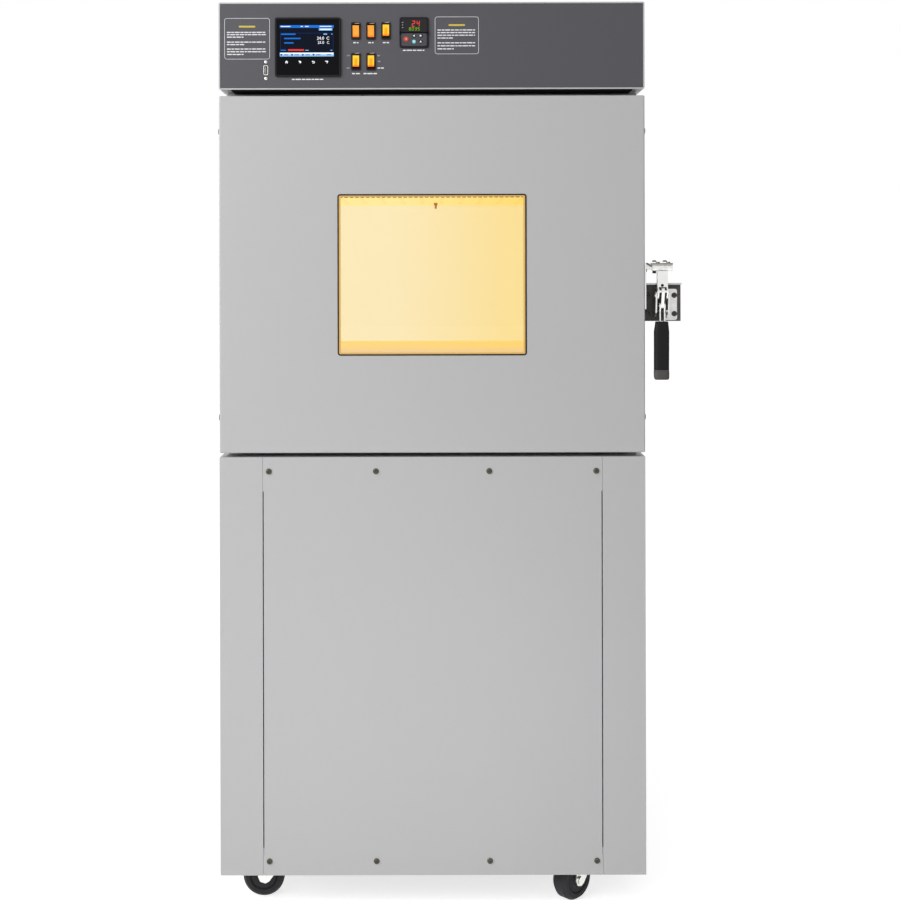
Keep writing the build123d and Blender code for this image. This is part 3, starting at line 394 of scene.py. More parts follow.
def place_mesh(name, data, material, body, smooth_angle=35.0):
    """Puts a mesh in the scene with its finish, as a piece that rides on a body."""
    data.materials.clear()
    data.materials.append(material)
    data.polygons.foreach_set("use_smooth", [True] * len(data.polygons))
    data.set_sharp_from_angle(angle=math.radians(smooth_angle))
    piece = bpy.data.objects.new(name, data)
    bpy.context.scene.collection.objects.link(piece)
    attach(piece, body)
    return piece


def soften(piece, width, segments=2):
    """Rounds the piece's sharp edges, and gives the piece back."""
    bevel = piece.modifiers.new("Edges", "BEVEL")
    bevel.width = width
    bevel.segments = segments
    bevel.limit_method = "ANGLE"
    bevel.angle_limit = math.radians(30)
    bevel.harden_normals = True
    return piece


def welded(node):
    """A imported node's surface, with its doubled corners made one."""
    mesh = bmesh.new()
    mesh.from_mesh(frame["nodes"][node].data)
    bmesh.ops.remove_doubles(mesh, verts=mesh.verts, dist=weld)
    return mesh


def loose_solids(node):
    """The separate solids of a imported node, in the order of their first corners, as lists of corners."""
    mesh = welded(node)
    left = set(mesh.verts)
    solids = []
    for start in mesh.verts:
        if start not in left:
            continue
        left.remove(start)
        stack = [start]
        solid = []
        while stack:
            vert = stack.pop()
            solid.append(vert.co.copy())
            for edge in vert.link_edges:
                other = edge.other_vert(vert)
                if other in left:
                    left.remove(other)
                    stack.append(other)
        solids.append(solid)
    mesh.free()
    return solids


def screw_heads(node):
    """Seat, outward direction, radius and height of each screw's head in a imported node."""
    heads = []
    for solid in loose_solids(node):
        low = Vector(min(point[axis] for point in solid) for axis in range(3))
        high = Vector(max(point[axis] for point in solid) for axis in range(3))
        size = high - low
        along = min(range(3), key=lambda axis: abs(size[(axis + 1) % 3] - size[(axis + 2) % 3]))
        centre = (low + high) / 2
        radius = size[(along + 1) % 3] / 2
        across = [axis for axis in range(3) if axis != along]
        rim = [point[along] for point in solid
               if math.hypot(*(point[axis] - centre[axis] for axis in across)) > 0.9 * radius]
        below = min(rim) - low[along]
        above = high[along] - max(rim)
        outward = 1 if below > above else -1
        if abs(below - above) < weld:
            outward = -1 if centre[along] < middle else 1
        direction = Vector([0, 0, 0])
        direction[along] = outward
        seat = centre.copy()
        seat[along] = min(rim) if outward > 0 else max(rim)
        heads.append((seat, direction, radius, max(rim) - min(rim)))
    return heads


def cross_screw(radius, height, recess):
    """Pan head with a cross recess, seated at z = 0 and facing +z."""
    head = bmesh.new()
    steps = 7
    flat, shoulder = 0.42, 0.58
    brim, crown = 0.28, 0.72
    profile = [(radius, 0.0), (radius, brim * height)]
    for step in range(1, steps + 1):
        angle = math.pi / 2 * step / steps
        out = radius * (flat + shoulder * math.cos(angle))
        profile.append((out, height * (brim + crown * math.sin(angle))))
    profile.append((0.0, height))
    add_turned(head, profile, Matrix.Identity(4), 40)
    bmesh.ops.holes_fill(head, edges=[edge for edge in head.edges if edge.is_boundary])
    cutter = bmesh.new()
    arm, half = 0.55 * radius, 0.13 * radius
    corners = [(arm, half), (half, half), (half, arm), (-half, arm), (-half, half), (-arm, half),
               (-arm, -half), (-half, -half), (-half, -arm), (half, -arm), (half, -half), (arm, -half)]
    clear, taper_x, taper_y = 1.2, 0.55, 0.7
    top = [cutter.verts.new((x, y, height * clear)) for x, y in corners]
    low = [cutter.verts.new((x * taper_x, y * taper_y, height - recess)) for x, y in corners]
    cutter.faces.new(top)
    cutter.faces.new(list(reversed(low)))
    for index in range(len(corners)):
        after = (index + 1) % len(corners)
        cutter.faces.new((top[after], top[index], low[index], low[after]))
    return cut(head, cutter)


def cut(solid, cutter):
    """One bmesh less another, as a mesh."""
    objects = []
    for mesh in (solid, cutter):
        bmesh.ops.recalc_face_normals(mesh, faces=mesh.faces)
        data = bpy.data.meshes.new("part")
        mesh.to_mesh(data)
        mesh.free()
        made = bpy.data.objects.new("part", data)
        bpy.context.scene.collection.objects.link(made)
        objects.append(made)
    whole, tool = objects
    step = whole.modifiers.new("cut", "BOOLEAN")
    step.operation = "DIFFERENCE"
    step.solver = "EXACT"
    step.object = tool
    graph = bpy.context.evaluated_depsgraph_get()
    result = bpy.data.meshes.new_from_object(whole.evaluated_get(graph))
    for made in objects:
        bpy.data.objects.remove(made)
    return result


def add_cross_screw(mesh, place, radius, height=0.0015, recess=0.0008):
    """A small cross-recessed head at a place, facing the front."""
    head = cross_screw(radius, height, recess)
    head.transform(facing(place, forward))
    mesh.from_mesh(head)
    bpy.data.meshes.remove(head)


def fit_screws(name, node, body, material):
    """Cross-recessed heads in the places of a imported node's screws."""
    mesh = bmesh.new()
    templates = {}
    first_turn, next_turn = 17, 31
    for index, (seat, direction, radius, height) in enumerate(screw_heads(node)):
        key = (round(radius, 5), round(height, 5))
        if key not in templates:
            templates[key] = cross_screw(radius, height, 0.55 * height)
        turned = templates[key].copy()
        turn = math.radians(first_turn + next_turn * index)
        turned.transform(facing(seat, direction) @ Matrix.Rotation(turn, 4, "Z"))
        mesh.from_mesh(turned)
        bpy.data.meshes.remove(turned)
    for template in templates.values():
        bpy.data.meshes.remove(template)
    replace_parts(make_piece(name, mesh, material, body), node)


def text_piece(name, words, height, place, material, body, align, depth=0.0001):
    """Plain numerals or a switch word facing the front; place is its foot, at the side that align names."""
    capital = 0.7
    curve = bpy.data.curves.new(name, "FONT")
    curve.body = words
    curve.align_x = align
    curve.size = height / capital
    curve.extrude = depth
    curve.resolution_u = 3
    typed = bpy.data.objects.new(name, curve)
    bpy.context.scene.collection.objects.link(typed)
    typed.matrix_world = Matrix.Translation(place) @ Matrix.Rotation(math.radians(90), 4, "X")
    bpy.context.view_layer.update()
    graph = bpy.context.evaluated_depsgraph_get()
    data = bpy.data.meshes.new_from_object(typed.evaluated_get(graph))
    data.transform(typed.matrix_world)
    bpy.data.objects.remove(typed)
    return place_mesh(name, data, material, body)


# Values that a user would change

def colour(name, description, default):
    return bpy.props.FloatVectorProperty(name=name, description=description, default=default, subtype="COLOR",
                                         size=3, min=0.0, max=1.0)


def number(name, description, default, **settings):
    return bpy.props.FloatProperty(name=name, description=description, default=default, **settings)


def length(name, description, default):
    return number(name, description, default, subtype="DISTANCE", unit="LENGTH", precision=5)


class ChamberColours(bpy.types.PropertyGroup):
    shell: colour("Shell paint", "Pale grey of the sheet metal", (0.49, 0.488, 0.495))
    face: colour("Console face", "Dark grey of the control panel", (0.066, 0.0645, 0.075))
    steel: colour("Steel", "Ground stainless sheet", (0.62, 0.61, 0.59))
    zinc: colour("Zinc plate", "Plated latch and casters", (0.78, 0.77, 0.74))
    bronze: colour("Screw", "Dark plated screws", (0.09, 0.082, 0.068))
    rubber: colour("Rubber", "Grip and gaskets", (0.012, 0.012, 0.013))
    tyre: colour("Tyre", "Tread of the casters", (0.035, 0.035, 0.038))
    amber: colour("Lens", "Amber rocker lenses", (0.95, 0.27, 0.035))
    print_white: colour("Print", "Printed legends", (0.78, 0.78, 0.8))
    print_yellow: colour("Heading print", "Printed headings", (0.62, 0.48, 0.06))
    # Painted lamp light: the wall, ceiling and shelf tones stand in for the warm chamber lamp's light,
    # brighter at one side or edge than the other.
    wall_left: colour("Lit wall", "Chamber's back wall at its brighter side", (1.0, 0.87, 0.56))
    wall_right: colour("Lit wall, far side", "Chamber's back wall at its deeper side", (0.99, 0.79, 0.35))
    ceiling_left: colour("Lit ceiling", "Underside of the diffuser", (1.0, 0.74, 0.25))
    ceiling_right: colour("Lit ceiling, far side", "Underside of the diffuser, at its deeper side",
                          (0.98, 0.63, 0.12))
    shelf_far: colour("Lit shelf", "Shelf at its far edge", (0.93, 0.56, 0.1))
    shelf_near: colour("Lit shelf, near edge", "Shelf at its near edge", (0.72, 0.5, 0.27))


class ChamberSizes(bpy.types.PropertyGroup):
    print_depth: length("Print thickness", "Thickness of the printed ink", 0.00012)
    line: length("Print line", "Width of the legend frames' line", 0.0007)
    bar: length("Print bar", "Height of a printed caption", 0.0021)


class StudioValues(bpy.types.PropertyGroup):
    distance: length("Distance", "Camera's distance from the chamber's front", 2.75)
    height: length("Height", "Camera's height above the floor", 1.155)
    lens: number("Lens", "Camera's focal length in millimetres", 60.84)
    roll: number("Roll", "Camera's roll", math.radians(0.127), subtype="ANGLE", unit="ROTATION")
    across: number("Shift across", "Camera's shift to the side", 0.0199)
    down: number("Shift down", "Camera's shift downwards", -0.1978)
    key_power: number("Key", "Main lamp's power", 108.0, unit="POWER")
    fill_power: number("Fill", "Power of the low lamp in front of the casters", 1.3, unit="POWER")
    world: number("World", "Strength of the surrounding light", 0.43)


palette = {}


def mix_palette():
    """Makes each finish once."""
    tones = bpy.context.scene.chamber_colours
    mix_coatings(tones)
    mix_prints(tones)
    mix_screens()
    mix_chamber(tones)
    mix_latch(tones)


def mix_coatings(tones):
    """Paints, plastics, rubbers and plain metals."""
    palette["shell_paint"] = coated("Pale grey powder coat", tones.shell, 0.42, 0.035, 1100.0, 0.06)
    palette["face_paint"] = coated("Dark grey panel film", tones.face, 0.5, 0.05, 1600.0, 0.1)
    palette["frame_paint"] = coated("Black frame paint", (0.02, 0.02, 0.022), 0.5, 0.1, 700.0, 0.1)
    palette["stainless"] = metal("Ground stainless", tones.steel, 0.34, (6.0, 700.0, 700.0), 0.16)
    palette["zinc"] = metal("Zinc plate", tones.zinc, 0.3, (60.0, 60.0, 60.0), 0.14)
    palette["white_metal"] = metal("Bright plated steel", (0.8, 0.8, 0.79), 0.34, (90.0, 90.0, 90.0), 0.12)
    palette["probe"] = metal("Warm brass probe", (0.5, 0.22, 0.04), 0.4, (200.0, 200.0, 200.0), 0.2)
    palette["bronze_screw"] = coated("Dark plated screw", tones.bronze, 0.4, 0.25, 800.0, 0.1, Metallic=0.35,
                                     Specular_IOR_Level=0.2)
    palette["rubber"] = coated("Black rubber", tones.rubber, 0.5, 0.2, 1500.0, 0.15, Specular_IOR_Level=0.12)
    palette["tread"] = coated("Grey tread rubber", tones.tyre, 0.62, 0.2, 900.0, 0.15, Specular_IOR_Level=0.2)
    palette["silicone"] = coated("Pale silicone", (0.42, 0.41, 0.39), 0.6, 0.06, 600.0, 0.1)
    palette["fibre"] = coated("Fibre blanket", (0.6, 0.5, 0.24), 0.95, 0.5, 260.0, 0.8)
    palette["black_plastic"] = coated("Black moulded plastic", (0.011, 0.011, 0.012), 0.42, 0.1, 1800.0, 0.12,
                                      Specular_IOR_Level=0.16)
    palette["key_plastic"] = coated("Soft grey keypad", (0.07, 0.067, 0.075), 0.5, 0.12, 1600.0, 0.12,
                                    Specular_IOR_Level=0.2)
    # Pale plastic of the data port's tongue; also the painted highlight bars on the rocker frames.
    palette["rim_plastic"] = coated("Pale plastic, painted rim glint", (0.4, 0.4, 0.34), 0.4, 0.1, 1200.0, 0.05)
    # Black strip under the console's overhang: painted shade.
    palette["seal"] = coated("Black painted shade strip", (0.008, 0.008, 0.009), 0.6, 0.15, 500.0, 0.15,
                             Specular_IOR_Level=0.1)
    palette["amber"] = coated("Amber lens", tones.amber, 0.3, 0.12, 500.0, 0.04, Coat_Weight=0.4)
    palette["red_plastic"] = coated("Red key", (0.6, 0.045, 0.025), 0.35, 0.08, 900.0, 0.05)
    palette["blue_plastic"] = coated("Blue key", (0.12, 0.6, 0.68), 0.35, 0.08, 900.0, 0.05)
    palette["glass"] = clear_glass("Clear pane", (0.98, 0.99, 0.985), 1.2)


def mix_prints(tones):
    """Inks of the console and its keys."""
    for name, label, tone in (("print", "White print", tones.print_white),
                              ("reset_print", "Pale red print", (0.7, 0.3, 0.24)),
                              ("heading", "Yellow print", tones.print_yellow)):
        palette[name] = coated(label, tone, 0.55, 0.1, 2500.0, 0.05)


def mix_screens():
    """Display glass, lit screen colours, digits and rocker lenses."""
    palette["screen_black"] = coated("Screen glass", (0.003, 0.003, 0.004), 0.15, 0.1, 40.0, 0.0,
                                     Specular_IOR_Level=0.08)
    palette["display_black"] = coated("Display window", (0.022, 0.022, 0.024), 0.3, 0.3, 900.0, 0.05,
                                      Specular_IOR_Level=0.12)
    for name, label, tone in (("screen_dark", "Screen ground", (0.004, 0.006, 0.014)),
                              ("screen_navy", "Screen navy", (0.005, 0.03, 0.15)),
                              ("screen_blue", "Screen blue", (0.01, 0.16, 0.62)),
                              ("screen_sky", "Screen sky blue", (0.25, 0.52, 0.92)),
                              ("screen_red", "Screen red", (0.75, 0.05, 0.045))):
        palette[name] = glowing(label, tone, cells=True)
    for name, label, tone in (("screen_white", "Screen white", (0.9, 0.93, 1.0)),
                              ("digit_red", "Red digit", (0.8, 0.06, 0.055)),
                              ("digit_green", "Green digit", (0.2, 0.45, 0.0))):
        palette[name] = glowing(label, tone)
    # The idle lens, whose lamp is off, glows as painted light.
    palette["lens_idle"] = lens("Amber lens, idle", (0.93, 0.33, 0.04), (0.9, 0.3, 0.035))
    palette["lens_lit"] = lens("Amber lens, lit", (0.98, 0.31, 0.01), (1.0, 0.52, 0.035))


def mix_chamber(tones):
    """Steel with the chamber lamp's light painted in as glow and tones, and a painted shadow."""
    across = (middle - 0.08, middle + 0.17)
    diffuser_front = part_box("ceiling_diffuser")[0].y
    shelf_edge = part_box("shelf")[0].y
    shelf_fade = 0.3
    palette["lit_wall"] = lit_steel("Lit back wall", tones.wall_left, tones.wall_right, "X", across, 0.01)
    # Painted shadow on the diffuser's front.
    palette["lit_ceiling"] = lit_steel("Lit ceiling", tones.ceiling_left, tones.ceiling_right, "X", across,
                                       0.02, dark_front=diffuser_front + 0.0005)
    palette["lit_shelf"] = lit_steel("Lit shelf", tones.shelf_near, tones.shelf_far, "Y",
                                     (shelf_edge, shelf_edge + shelf_fade), 0.12)
    palette["door_pan"] = framed_steel(tones)


def mix_latch(tones):
    """Plated and rubber pieces of the latch, bright or dark by place: painted highlight and shade on the
    clamp base and bracket, and a painted sheen on the grip's end cap.
    """
    clamp_low, clamp_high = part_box("clamp_base")
    clamp_middle = (clamp_low.x + clamp_high.x) / 2
    # Painted shade on the clamp base's left and back; painted highlight at its right side and front face.
    palette["clamp_flange"] = bright_edged_plate("Clamp base steel", (0.74, 0.74, 0.73), (0.07, 0.067, 0.064),
                                       ("X", clamp_middle + 0.0065, clamp_middle + 0.0085),
                                       ("Y", clamp_low.y + 0.008, clamp_low.y + 0.006))
    bracket_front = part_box("latch_bracket")[0].y
    # Painted highlight on the bracket's front edge; the rest dark, partly darker steel and partly painted
    # shadow from its top flange.
    palette["bracket_steel"] = bright_edged_plate("Bracket steel", (0.55, 0.55, 0.54), (0.1, 0.097, 0.093),
                                        ("Y", bracket_front + 0.0008, bracket_front + 0.0004))
    strip_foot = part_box("clamp_presser")[1].z - 0.0052
    palette["presser_steel"] = bright_edged_plate("Cross bar steel", (0.8, 0.8, 0.79), (0.3, 0.28, 0.26),
                                        ("Z", strip_foot, strip_foot - 0.0006))
    # Painted sheen: the grip's end cap is paler below this height.
    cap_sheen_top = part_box("clamp_grip")[0].z + 0.0175
    palette["grip_rubber"] = banded_rubber("Grip rubber", tones.rubber, (0.085, 0.083, 0.08), cap_sheen_top)


def lens(name, core, halo):
    """Rocker lens: core, glow at sides and top, redder foot, dark carrier round it; idle glow is painted
    light.
    """
    made, tree, inputs = start_material(name, Roughness=0.35, Specular_IOR_Level=0.15)
    place = add_node(tree, "ShaderNodeTexCoord").outputs["Generated"]
    parts = axes(tree, place)
    aside = maths(tree, "ABSOLUTE", maths(tree, "SUBTRACT", parts["X"], 0.5))
    sides = ranged(tree, aside, 0.12, 0.3, 0.0, 1.0)
    glow = maths(tree, "MAXIMUM", sides, ranged(tree, parts["Z"], 0.62, 0.84, 0.0, 1.0))
    tone = mixed(tree, glow, (*core, 1), (*halo, 1))
    foot = ranged(tree, parts["Z"], 0.1, 0.22, 1.0, 0.0)
    tone = mixed(tree, foot, tone, (0.9, 0.16, 0.01, 1))
    edge = maths(tree, "ABSOLUTE", maths(tree, "SUBTRACT", parts["Z"], 0.5))
    ends = ranged(tree, edge, 0.44, 0.47, 0.0, 1.0)
    rim = maths(tree, "MAXIMUM", ranged(tree, aside, 0.39, 0.44, 0.0, 1.0), ends)
    value = ranged(tree, noise(tree, own_place(tree), 700.0), 0.0, 1.0, 0.92, 1.08)
    tone = toned(tree, tone, value)
    tree.links.new(mixed(tree, rim, tone, (0.02, 0.012, 0.008, 1)), inputs["Base Color"])
    tree.links.new(mixed(tree, rim, tone, (0.0, 0.0, 0.0, 1)), inputs["Emission Color"])
    # Painted light on the idle lens, whose lamp is off: it glows like the lit one.
    inputs["Emission Strength"].default_value = 0.35
    return made


def bright_edged_plate(name, light, dark, *edges):
    """Plated steel that is bright past any of its edges, each an axis and two limits, and dull elsewhere; on
    the clamp base and the bracket these are painted highlight and painted shade.
    """
    made, tree, inputs = start_material(name, Specular_IOR_Level=0.3)
    place = own_place(tree)
    parts = axes(tree, place)
    bright = 0.0
    for axis, start, end in edges:
        bright = maths(tree, "MAXIMUM", bright, ranged(tree, parts[axis], start, end, 0.0, 1.0))
    cloud = noise(tree, place, 120.0, 4.0)
    tone = mixed(tree, bright, (*dark, 1), (*light, 1))
    value = ranged(tree, cloud, 0.2, 0.8, 0.78, 1.15)
    tone = toned(tree, tone, value)
    tree.links.new(tone, inputs["Base Color"])
    tree.links.new(ranged(tree, bright, 0.0, 1.0, 0.1, 0.85), inputs["Metallic"])
    tree.links.new(ranged(tree, cloud, 0.0, 1.0, 0.3, 0.55), inputs["Roughness"])
    link_bump(tree, inputs, cloud, 0.05, 0.0002)
    return made


def framed_steel(tones):
    """The door's inner pan: ground steel, with the chamber lamp's warm light painted on the four walls of the
    window's opening.
    """
    beyond = 0.0035
    made, tree, inputs = start_material("Door pan steel")
    lines = place_group(tree, "brushed", {"Color": (*tones.steel, 1), "Stretch": (6.0, 700.0, 700.0),
                                          "Contrast": 0.16, "Roughness": 0.34})
    place = own_place(tree)
    parts = axes(tree, place)
    masks = []
    for axis, low, high in (("X", window_low.x, window_high.x), ("Z", window_low.z, window_high.z)):
        away = maths(tree, "ABSOLUTE", maths(tree, "SUBTRACT", parts[axis], (low + high) / 2))
        masks.append(maths(tree, "LESS_THAN", away, (high - low) / 2 - window_lap + beyond))
    within = maths(tree, "MULTIPLY", masks[0], masks[1])
    # Painted lamp light: within the window's opening the pan is warm and glows.
    tree.links.new(mixed(tree, within, lines["Color"], (0.3, 0.2, 0.07, 1)), inputs["Base Color"])
    tree.links.new(maths(tree, "SUBTRACT", 1.0, within), inputs["Metallic"])
    tree.links.new(lines["Roughness"], inputs["Roughness"])
    tree.links.new(mixed(tree, within, (0, 0, 0, 1), (0.75, 0.5, 0.16, 1)), inputs["Emission Color"])
    inputs["Emission Strength"].default_value = 0.7
    link_bump(tree, inputs, lines["Height"], 0.05, 0.0002)
    return made


def banded_rubber(name, colour_value, band, below):
    """The grip's rubber, with a painted sheen: a paler cap under a height, where the flared end catches
    light.
    """
    made, tree, inputs = start_material(name, Roughness=0.5, Specular_IOR_Level=0.12)
    place = own_place(tree)
    parts = axes(tree, place)
    grain_out = place_group(tree, "grain", {"Color": (*colour_value, 1), "Drift": 0.3, "Grain Scale": 1500.0,
                                            "Roughness": 0.5})
    # Painted sheen on the end cap.
    cap = maths(tree, "LESS_THAN", parts["Z"], below)
    tree.links.new(mixed(tree, cap, grain_out["Color"], (*band, 1)), inputs["Base Color"])
    link_bump(tree, inputs, grain_out["Height"], 0.15, 0.0002)
    return made


# Nodes whose finish isn't the one of their slot
own_finish = {
    "key_up": "black_plastic",
    "clamp_presser": "presser_steel",
    "clamp_base": "clamp_flange",
    "latch_bracket": "bracket_steel",
    "door_pan": "door_pan",
    "chamber_fittings": "probe",
    "liner": "lit_wall",
    "rear_baffle": "lit_wall",
    "shelf_runners": "lit_wall",
    "ceiling_diffuser": "lit_ceiling",
    "shelf": "lit_shelf",
}


class CHAMBER_OT_finishes(bpy.types.Operator):
    """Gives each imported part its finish"""
    bl_idname = "chamber.finishes"
    bl_label = "Finishes"

    def execute(self, context):
        mix_palette()
        for part in frame["record"]["subparts"]:
            node = frame["nodes"][part["node"]]
            finish = palette[own_finish.get(part["node"], part["material_slot"])]
            node.data.materials.clear()
            node.data.materials.append(finish)
        return {"FINISHED"}


# Console

def rise(height):
    """Height above the console's underside."""
    return console_low.z + height


class CHAMBER_OT_console_prints(bpy.types.Operator):
    """Prints the console's face: framed notes as plain ruled lines, captions and switch words"""
    bl_idname = "chamber.console_prints"
    bl_label = "Console prints"

    def execute(self, context):
        sizes = context.scene.chamber_sizes
        y = face_low.y - sizes.print_depth
        ink = bmesh.new()
        heads = bmesh.new()
        left_note = ((-0.3747, 0.0549), (-0.2926, 0.1292),
                     ((0.1036, 0.0995, 0.095), (0.086, 0.0815), (0.0735, 0.0686, 0.0637)))
        right_note = ((0.0060, 0.0636), (0.0853, 0.1312),
                      ((0.1071, 0.1024, 0.0976, 0.0926), (0.0839, 0.0785, 0.073)))
        for low, high, paragraphs in (left_note, right_note):
            self.note(ink, heads, (middle + low[0], rise(low[1])), (middle + high[0], rise(high[1])),
                      paragraphs, y, sizes)
        captions = (((-0.2245, 0.0183), 0.057), ((-0.1369, 0.0845), 0.010), ((-0.1097, 0.0845), 0.010),
                    ((-0.0825, 0.0845), 0.0115), ((-0.1369, 0.0286), 0.0145), ((-0.1095, 0.0286), 0.0275),
                    ((-0.0325, 0.0705), 0.039), ((-0.0923, 0.0386), 0.012))
        for (x, z), width in captions:
            start = middle + x - width / 2
            self.words(ink, start, start + width, rise(z), sizes.bar, y, sizes, 1)
        make_piece("console_legends", ink, palette["print"], "cabinet")
        make_piece("console_headings", heads, palette["heading"], "cabinet")
        marks = (("ON", -0.1505, 0.0612), ("OFF", -0.1513, 0.0386),
                 ("ON", -0.0960, 0.0612), ("OFF", -0.0952, 0.0504))
        for index, (word, x, z) in enumerate(marks, 1):
            place = Vector((middle + x, y, rise(z) - sizes.bar / 2))
            text_piece(f"switch_mark_{index}", word, sizes.bar, place, palette["print"], "cabinet",
                       "CENTER")
        return {"FINISHED"}

    def note(self, ink, heads, low, high, paragraphs, y, sizes):
        """A frame with rounded corners, a heading bar and paragraphs of ruled lines."""
        corner, indent, right_gap, short_gap = 0.0045, 0.0045, 0.0065, 0.045
        half_width, half_height, head_drop, line_height = 0.015, 0.0016, 0.0152, 0.0019
        inner_low = (low[0] + sizes.line, low[1] + sizes.line)
        inner_high = (high[0] - sizes.line, high[1] - sizes.line)
        add_ring(ink, rounded(low, high, corner), rounded(inner_low, inner_high, corner - sizes.line), y,
                 sizes.print_depth)
        centre = (low[0] + high[0]) / 2
        head_z = high[1] - head_drop
        add_bar(heads, (centre - half_width, centre + half_width),
                (head_z - half_height, head_z + half_height), y, sizes.print_depth)
        for lines in paragraphs:
            for index, height in enumerate(lines):
                gap = short_gap if index == len(lines) - 1 else right_gap
                self.words(ink, low[0] + indent, high[0] - gap, rise(height), line_height, y, sizes, index)

    def words(self, mesh, start, end, z, height, y, sizes, seed):
        """A line of print as short bars with gaps, like the words of a ruled legend."""
        letters = (5, 3, 7, 4, 6, 2, 5, 8, 3, 6)
        x = start
        index = seed
        while x < end - height:
            width = min(letters[index % len(letters)] * 0.55 * height + height, end - x)
            add_bar(mesh, (x, x + width), (z - height / 2, z + height / 2), y, sizes.print_depth)
            x += width + 0.5 * height
            index += 1


class CHAMBER_OT_touch_screen(bpy.types.Operator):
    """Builds the touch controller's glass, its lit picture and the touch marks"""
    bl_idname = "chamber.touch_screen"
    bl_label = "Touch screen"

    def execute(self, context):
        low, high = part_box("touch_controller")
        depth = context.scene.chamber_sizes.print_depth
        bezel_width, bezel_height = 0.1194, 0.1072
        left = (low.x + high.x) / 2 - bezel_width / 2
        top = rise(0.1298)
        glass_y = low.y + 0.0004
        glass = bmesh.new()
        # The glass leaves a wider strip of bezel bare at the right and bottom than at the left and top: a
        # painted highlight of light on the bezel's edge.
        glass_outline = rounded((low.x + 0.0008, low.z + 0.0032), (high.x - 0.0032, high.z - 0.0008), 0.002)
        add_slab(glass, glass_outline, glass_y, 0.0006)
        soften(make_piece("touch_glass", glass, palette["screen_black"], "cabinet"), 0.0002)

        def px(x, y):
            """A place on the screen from shares measured across the bezel."""
            return left + (0.012 + 0.966 * x) * bezel_width, top - y * bezel_height

        layers = {}

        def bar(tone, x0, y0, x1, y1, level, radius=None):
            mesh = layers.setdefault(tone, bmesh.new())
            start, end = px(x0, y1), px(x1, y0)
            add_bar(mesh, (start[0], end[0]), (start[1], end[1]), glass_y - level * depth, depth, radius)

        bar("screen_dark", 0.068, 0.132, 0.912, 0.658, 1, 0.0003)
        bar("screen_blue", 0.068, 0.132, 0.912, 0.176, 2, 0.0002)
        bar("screen_navy", 0.075, 0.262, 0.905, 0.268, 2, 0.0002)
        bar("screen_navy", 0.075, 0.262, 0.081, 0.56, 2, 0.0002)
        bar("screen_navy", 0.899, 0.262, 0.905, 0.56, 2, 0.0002)
        bar("screen_sky", 0.68, 0.182, 0.89, 0.222, 2, 0.0004)
        for x0, x1 in ((0.08, 0.235), (0.395, 0.43), (0.46, 0.52), (0.69, 0.88)):
            bar("screen_white", x0, 0.147, x1, 0.158, 3)
        bar("screen_white", 0.70, 0.196, 0.87, 0.208, 3)
        for x0, x1, y in ((0.085, 0.315, 0.283), (0.135, 0.395, 0.355), (0.135, 0.285, 0.43)):
            bar("screen_blue", x0, y - 0.011, x1, y + 0.011, 3)
        bar("screen_blue", 0.08, 0.545, 0.165, 0.563, 3)
        bar("screen_red", 0.197, 0.536, 0.445, 0.564, 3, 0.0003)
        bar("screen_sky", 0.465, 0.549, 0.52, 0.56, 3)
        bar("screen_sky", 0.86, 0.549, 0.89, 0.56, 3)
        for x0, x1, y in ((0.75, 0.81, 0.283), (0.875, 0.89, 0.283)):
            bar("screen_sky", x0, y - 0.009, x1, y + 0.009, 3)
        bar("screen_sky", 0.068, 0.592, 0.912, 0.658, 2, 0.0002)
        for index in range(5):
            x0 = 0.072 + index * 0.168
            bar("screen_white", x0, 0.597, x0 + 0.162, 0.622, 3, 0.0003)
            bar("screen_navy", x0 + 0.055, 0.622, x0 + 0.13, 0.636, 4)
            if index < 4:
                bar("screen_navy", x0 + 0.005, 0.612, x0 + 0.033, 0.645, 4)
        for tone, mesh in layers.items():
            make_piece("touch_" + tone, mesh, palette[tone], "cabinet")
        readings = (("24.0", 0.3505, 0.0054), ("25.0", 0.4235, 0.0048))
        for index, (words, y, size) in enumerate(readings, 1):
            for kind, shown, foot in (("reading", words, 0.762), ("unit", "C", 0.844)):
                x, z = px(foot, y)
                place = Vector((x, glass_y - 4 * depth, z - size / 2))
                text_piece(f"touch_{kind}_{index}", shown, size, place, palette["screen_white"], "cabinet",
                           "RIGHT", depth / 2)
        self.marks(px, glass_y - depth, depth)
        return {"FINISHED"}

    def marks(self, px, y, depth):
        """Four plain touch marks under the picture: house, sheet, return arrow and drop list."""
        marks = bmesh.new()
        size = 0.0027
        house = [(-1.0, 0.0), (0.0, 1.0), (1.0, 0.0), (0.72, 0.0), (0.72, -0.9), (0.25, -0.9), (0.25, -0.2),
                 (-0.25, -0.2), (-0.25, -0.9), (-0.72, -0.9), (-0.72, 0.0)]
        sheet = [(-1.0, 0.7), (0.2, 0.9), (0.95, 0.4), (0.95, -0.5), (0.1, -0.9), (-0.2, 0.1)]
        arrow = [(-1.0, 0.35), (-0.35, 0.95), (-0.35, 0.55), (0.6, 0.55), (1.0, 0.15), (1.0, -0.5),
                 (0.6, -0.9), (-0.5, -0.9), (-0.5, -0.5), (0.45, -0.5), (0.6, -0.35), (0.6, 0.0),
                 (0.45, 0.15), (-0.35, 0.15), (-0.35, -0.25)]
        drop = [(-1.0, 0.75), (0.95, 0.75), (0.95, 0.2), (0.3, -0.9), (0.0, -0.9), (0.25, 0.1), (-0.7, 0.25)]
        for x, shape in ((0.172, house), (0.378, sheet), (0.59, arrow), (0.8, drop)):
            centre = px(x, 0.752)
            points = [(centre[0] + dx * size, centre[1] + dz * size) for dx, dz in reversed(shape)]
            add_slab(marks, points, y, depth)
        make_piece("touch_marks", marks, palette["screen_white"], "cabinet")


# Which strokes each digit lights, from a at the top round to f, with g across the middle
segments = {"0": "abcdef", "1": "bc", "2": "abged", "3": "abgcd", "4": "fgbc", "5": "afgcd", "6": "afgedc",
            "7": "abc", "8": "abcdefg", "9": "abcdfg"}


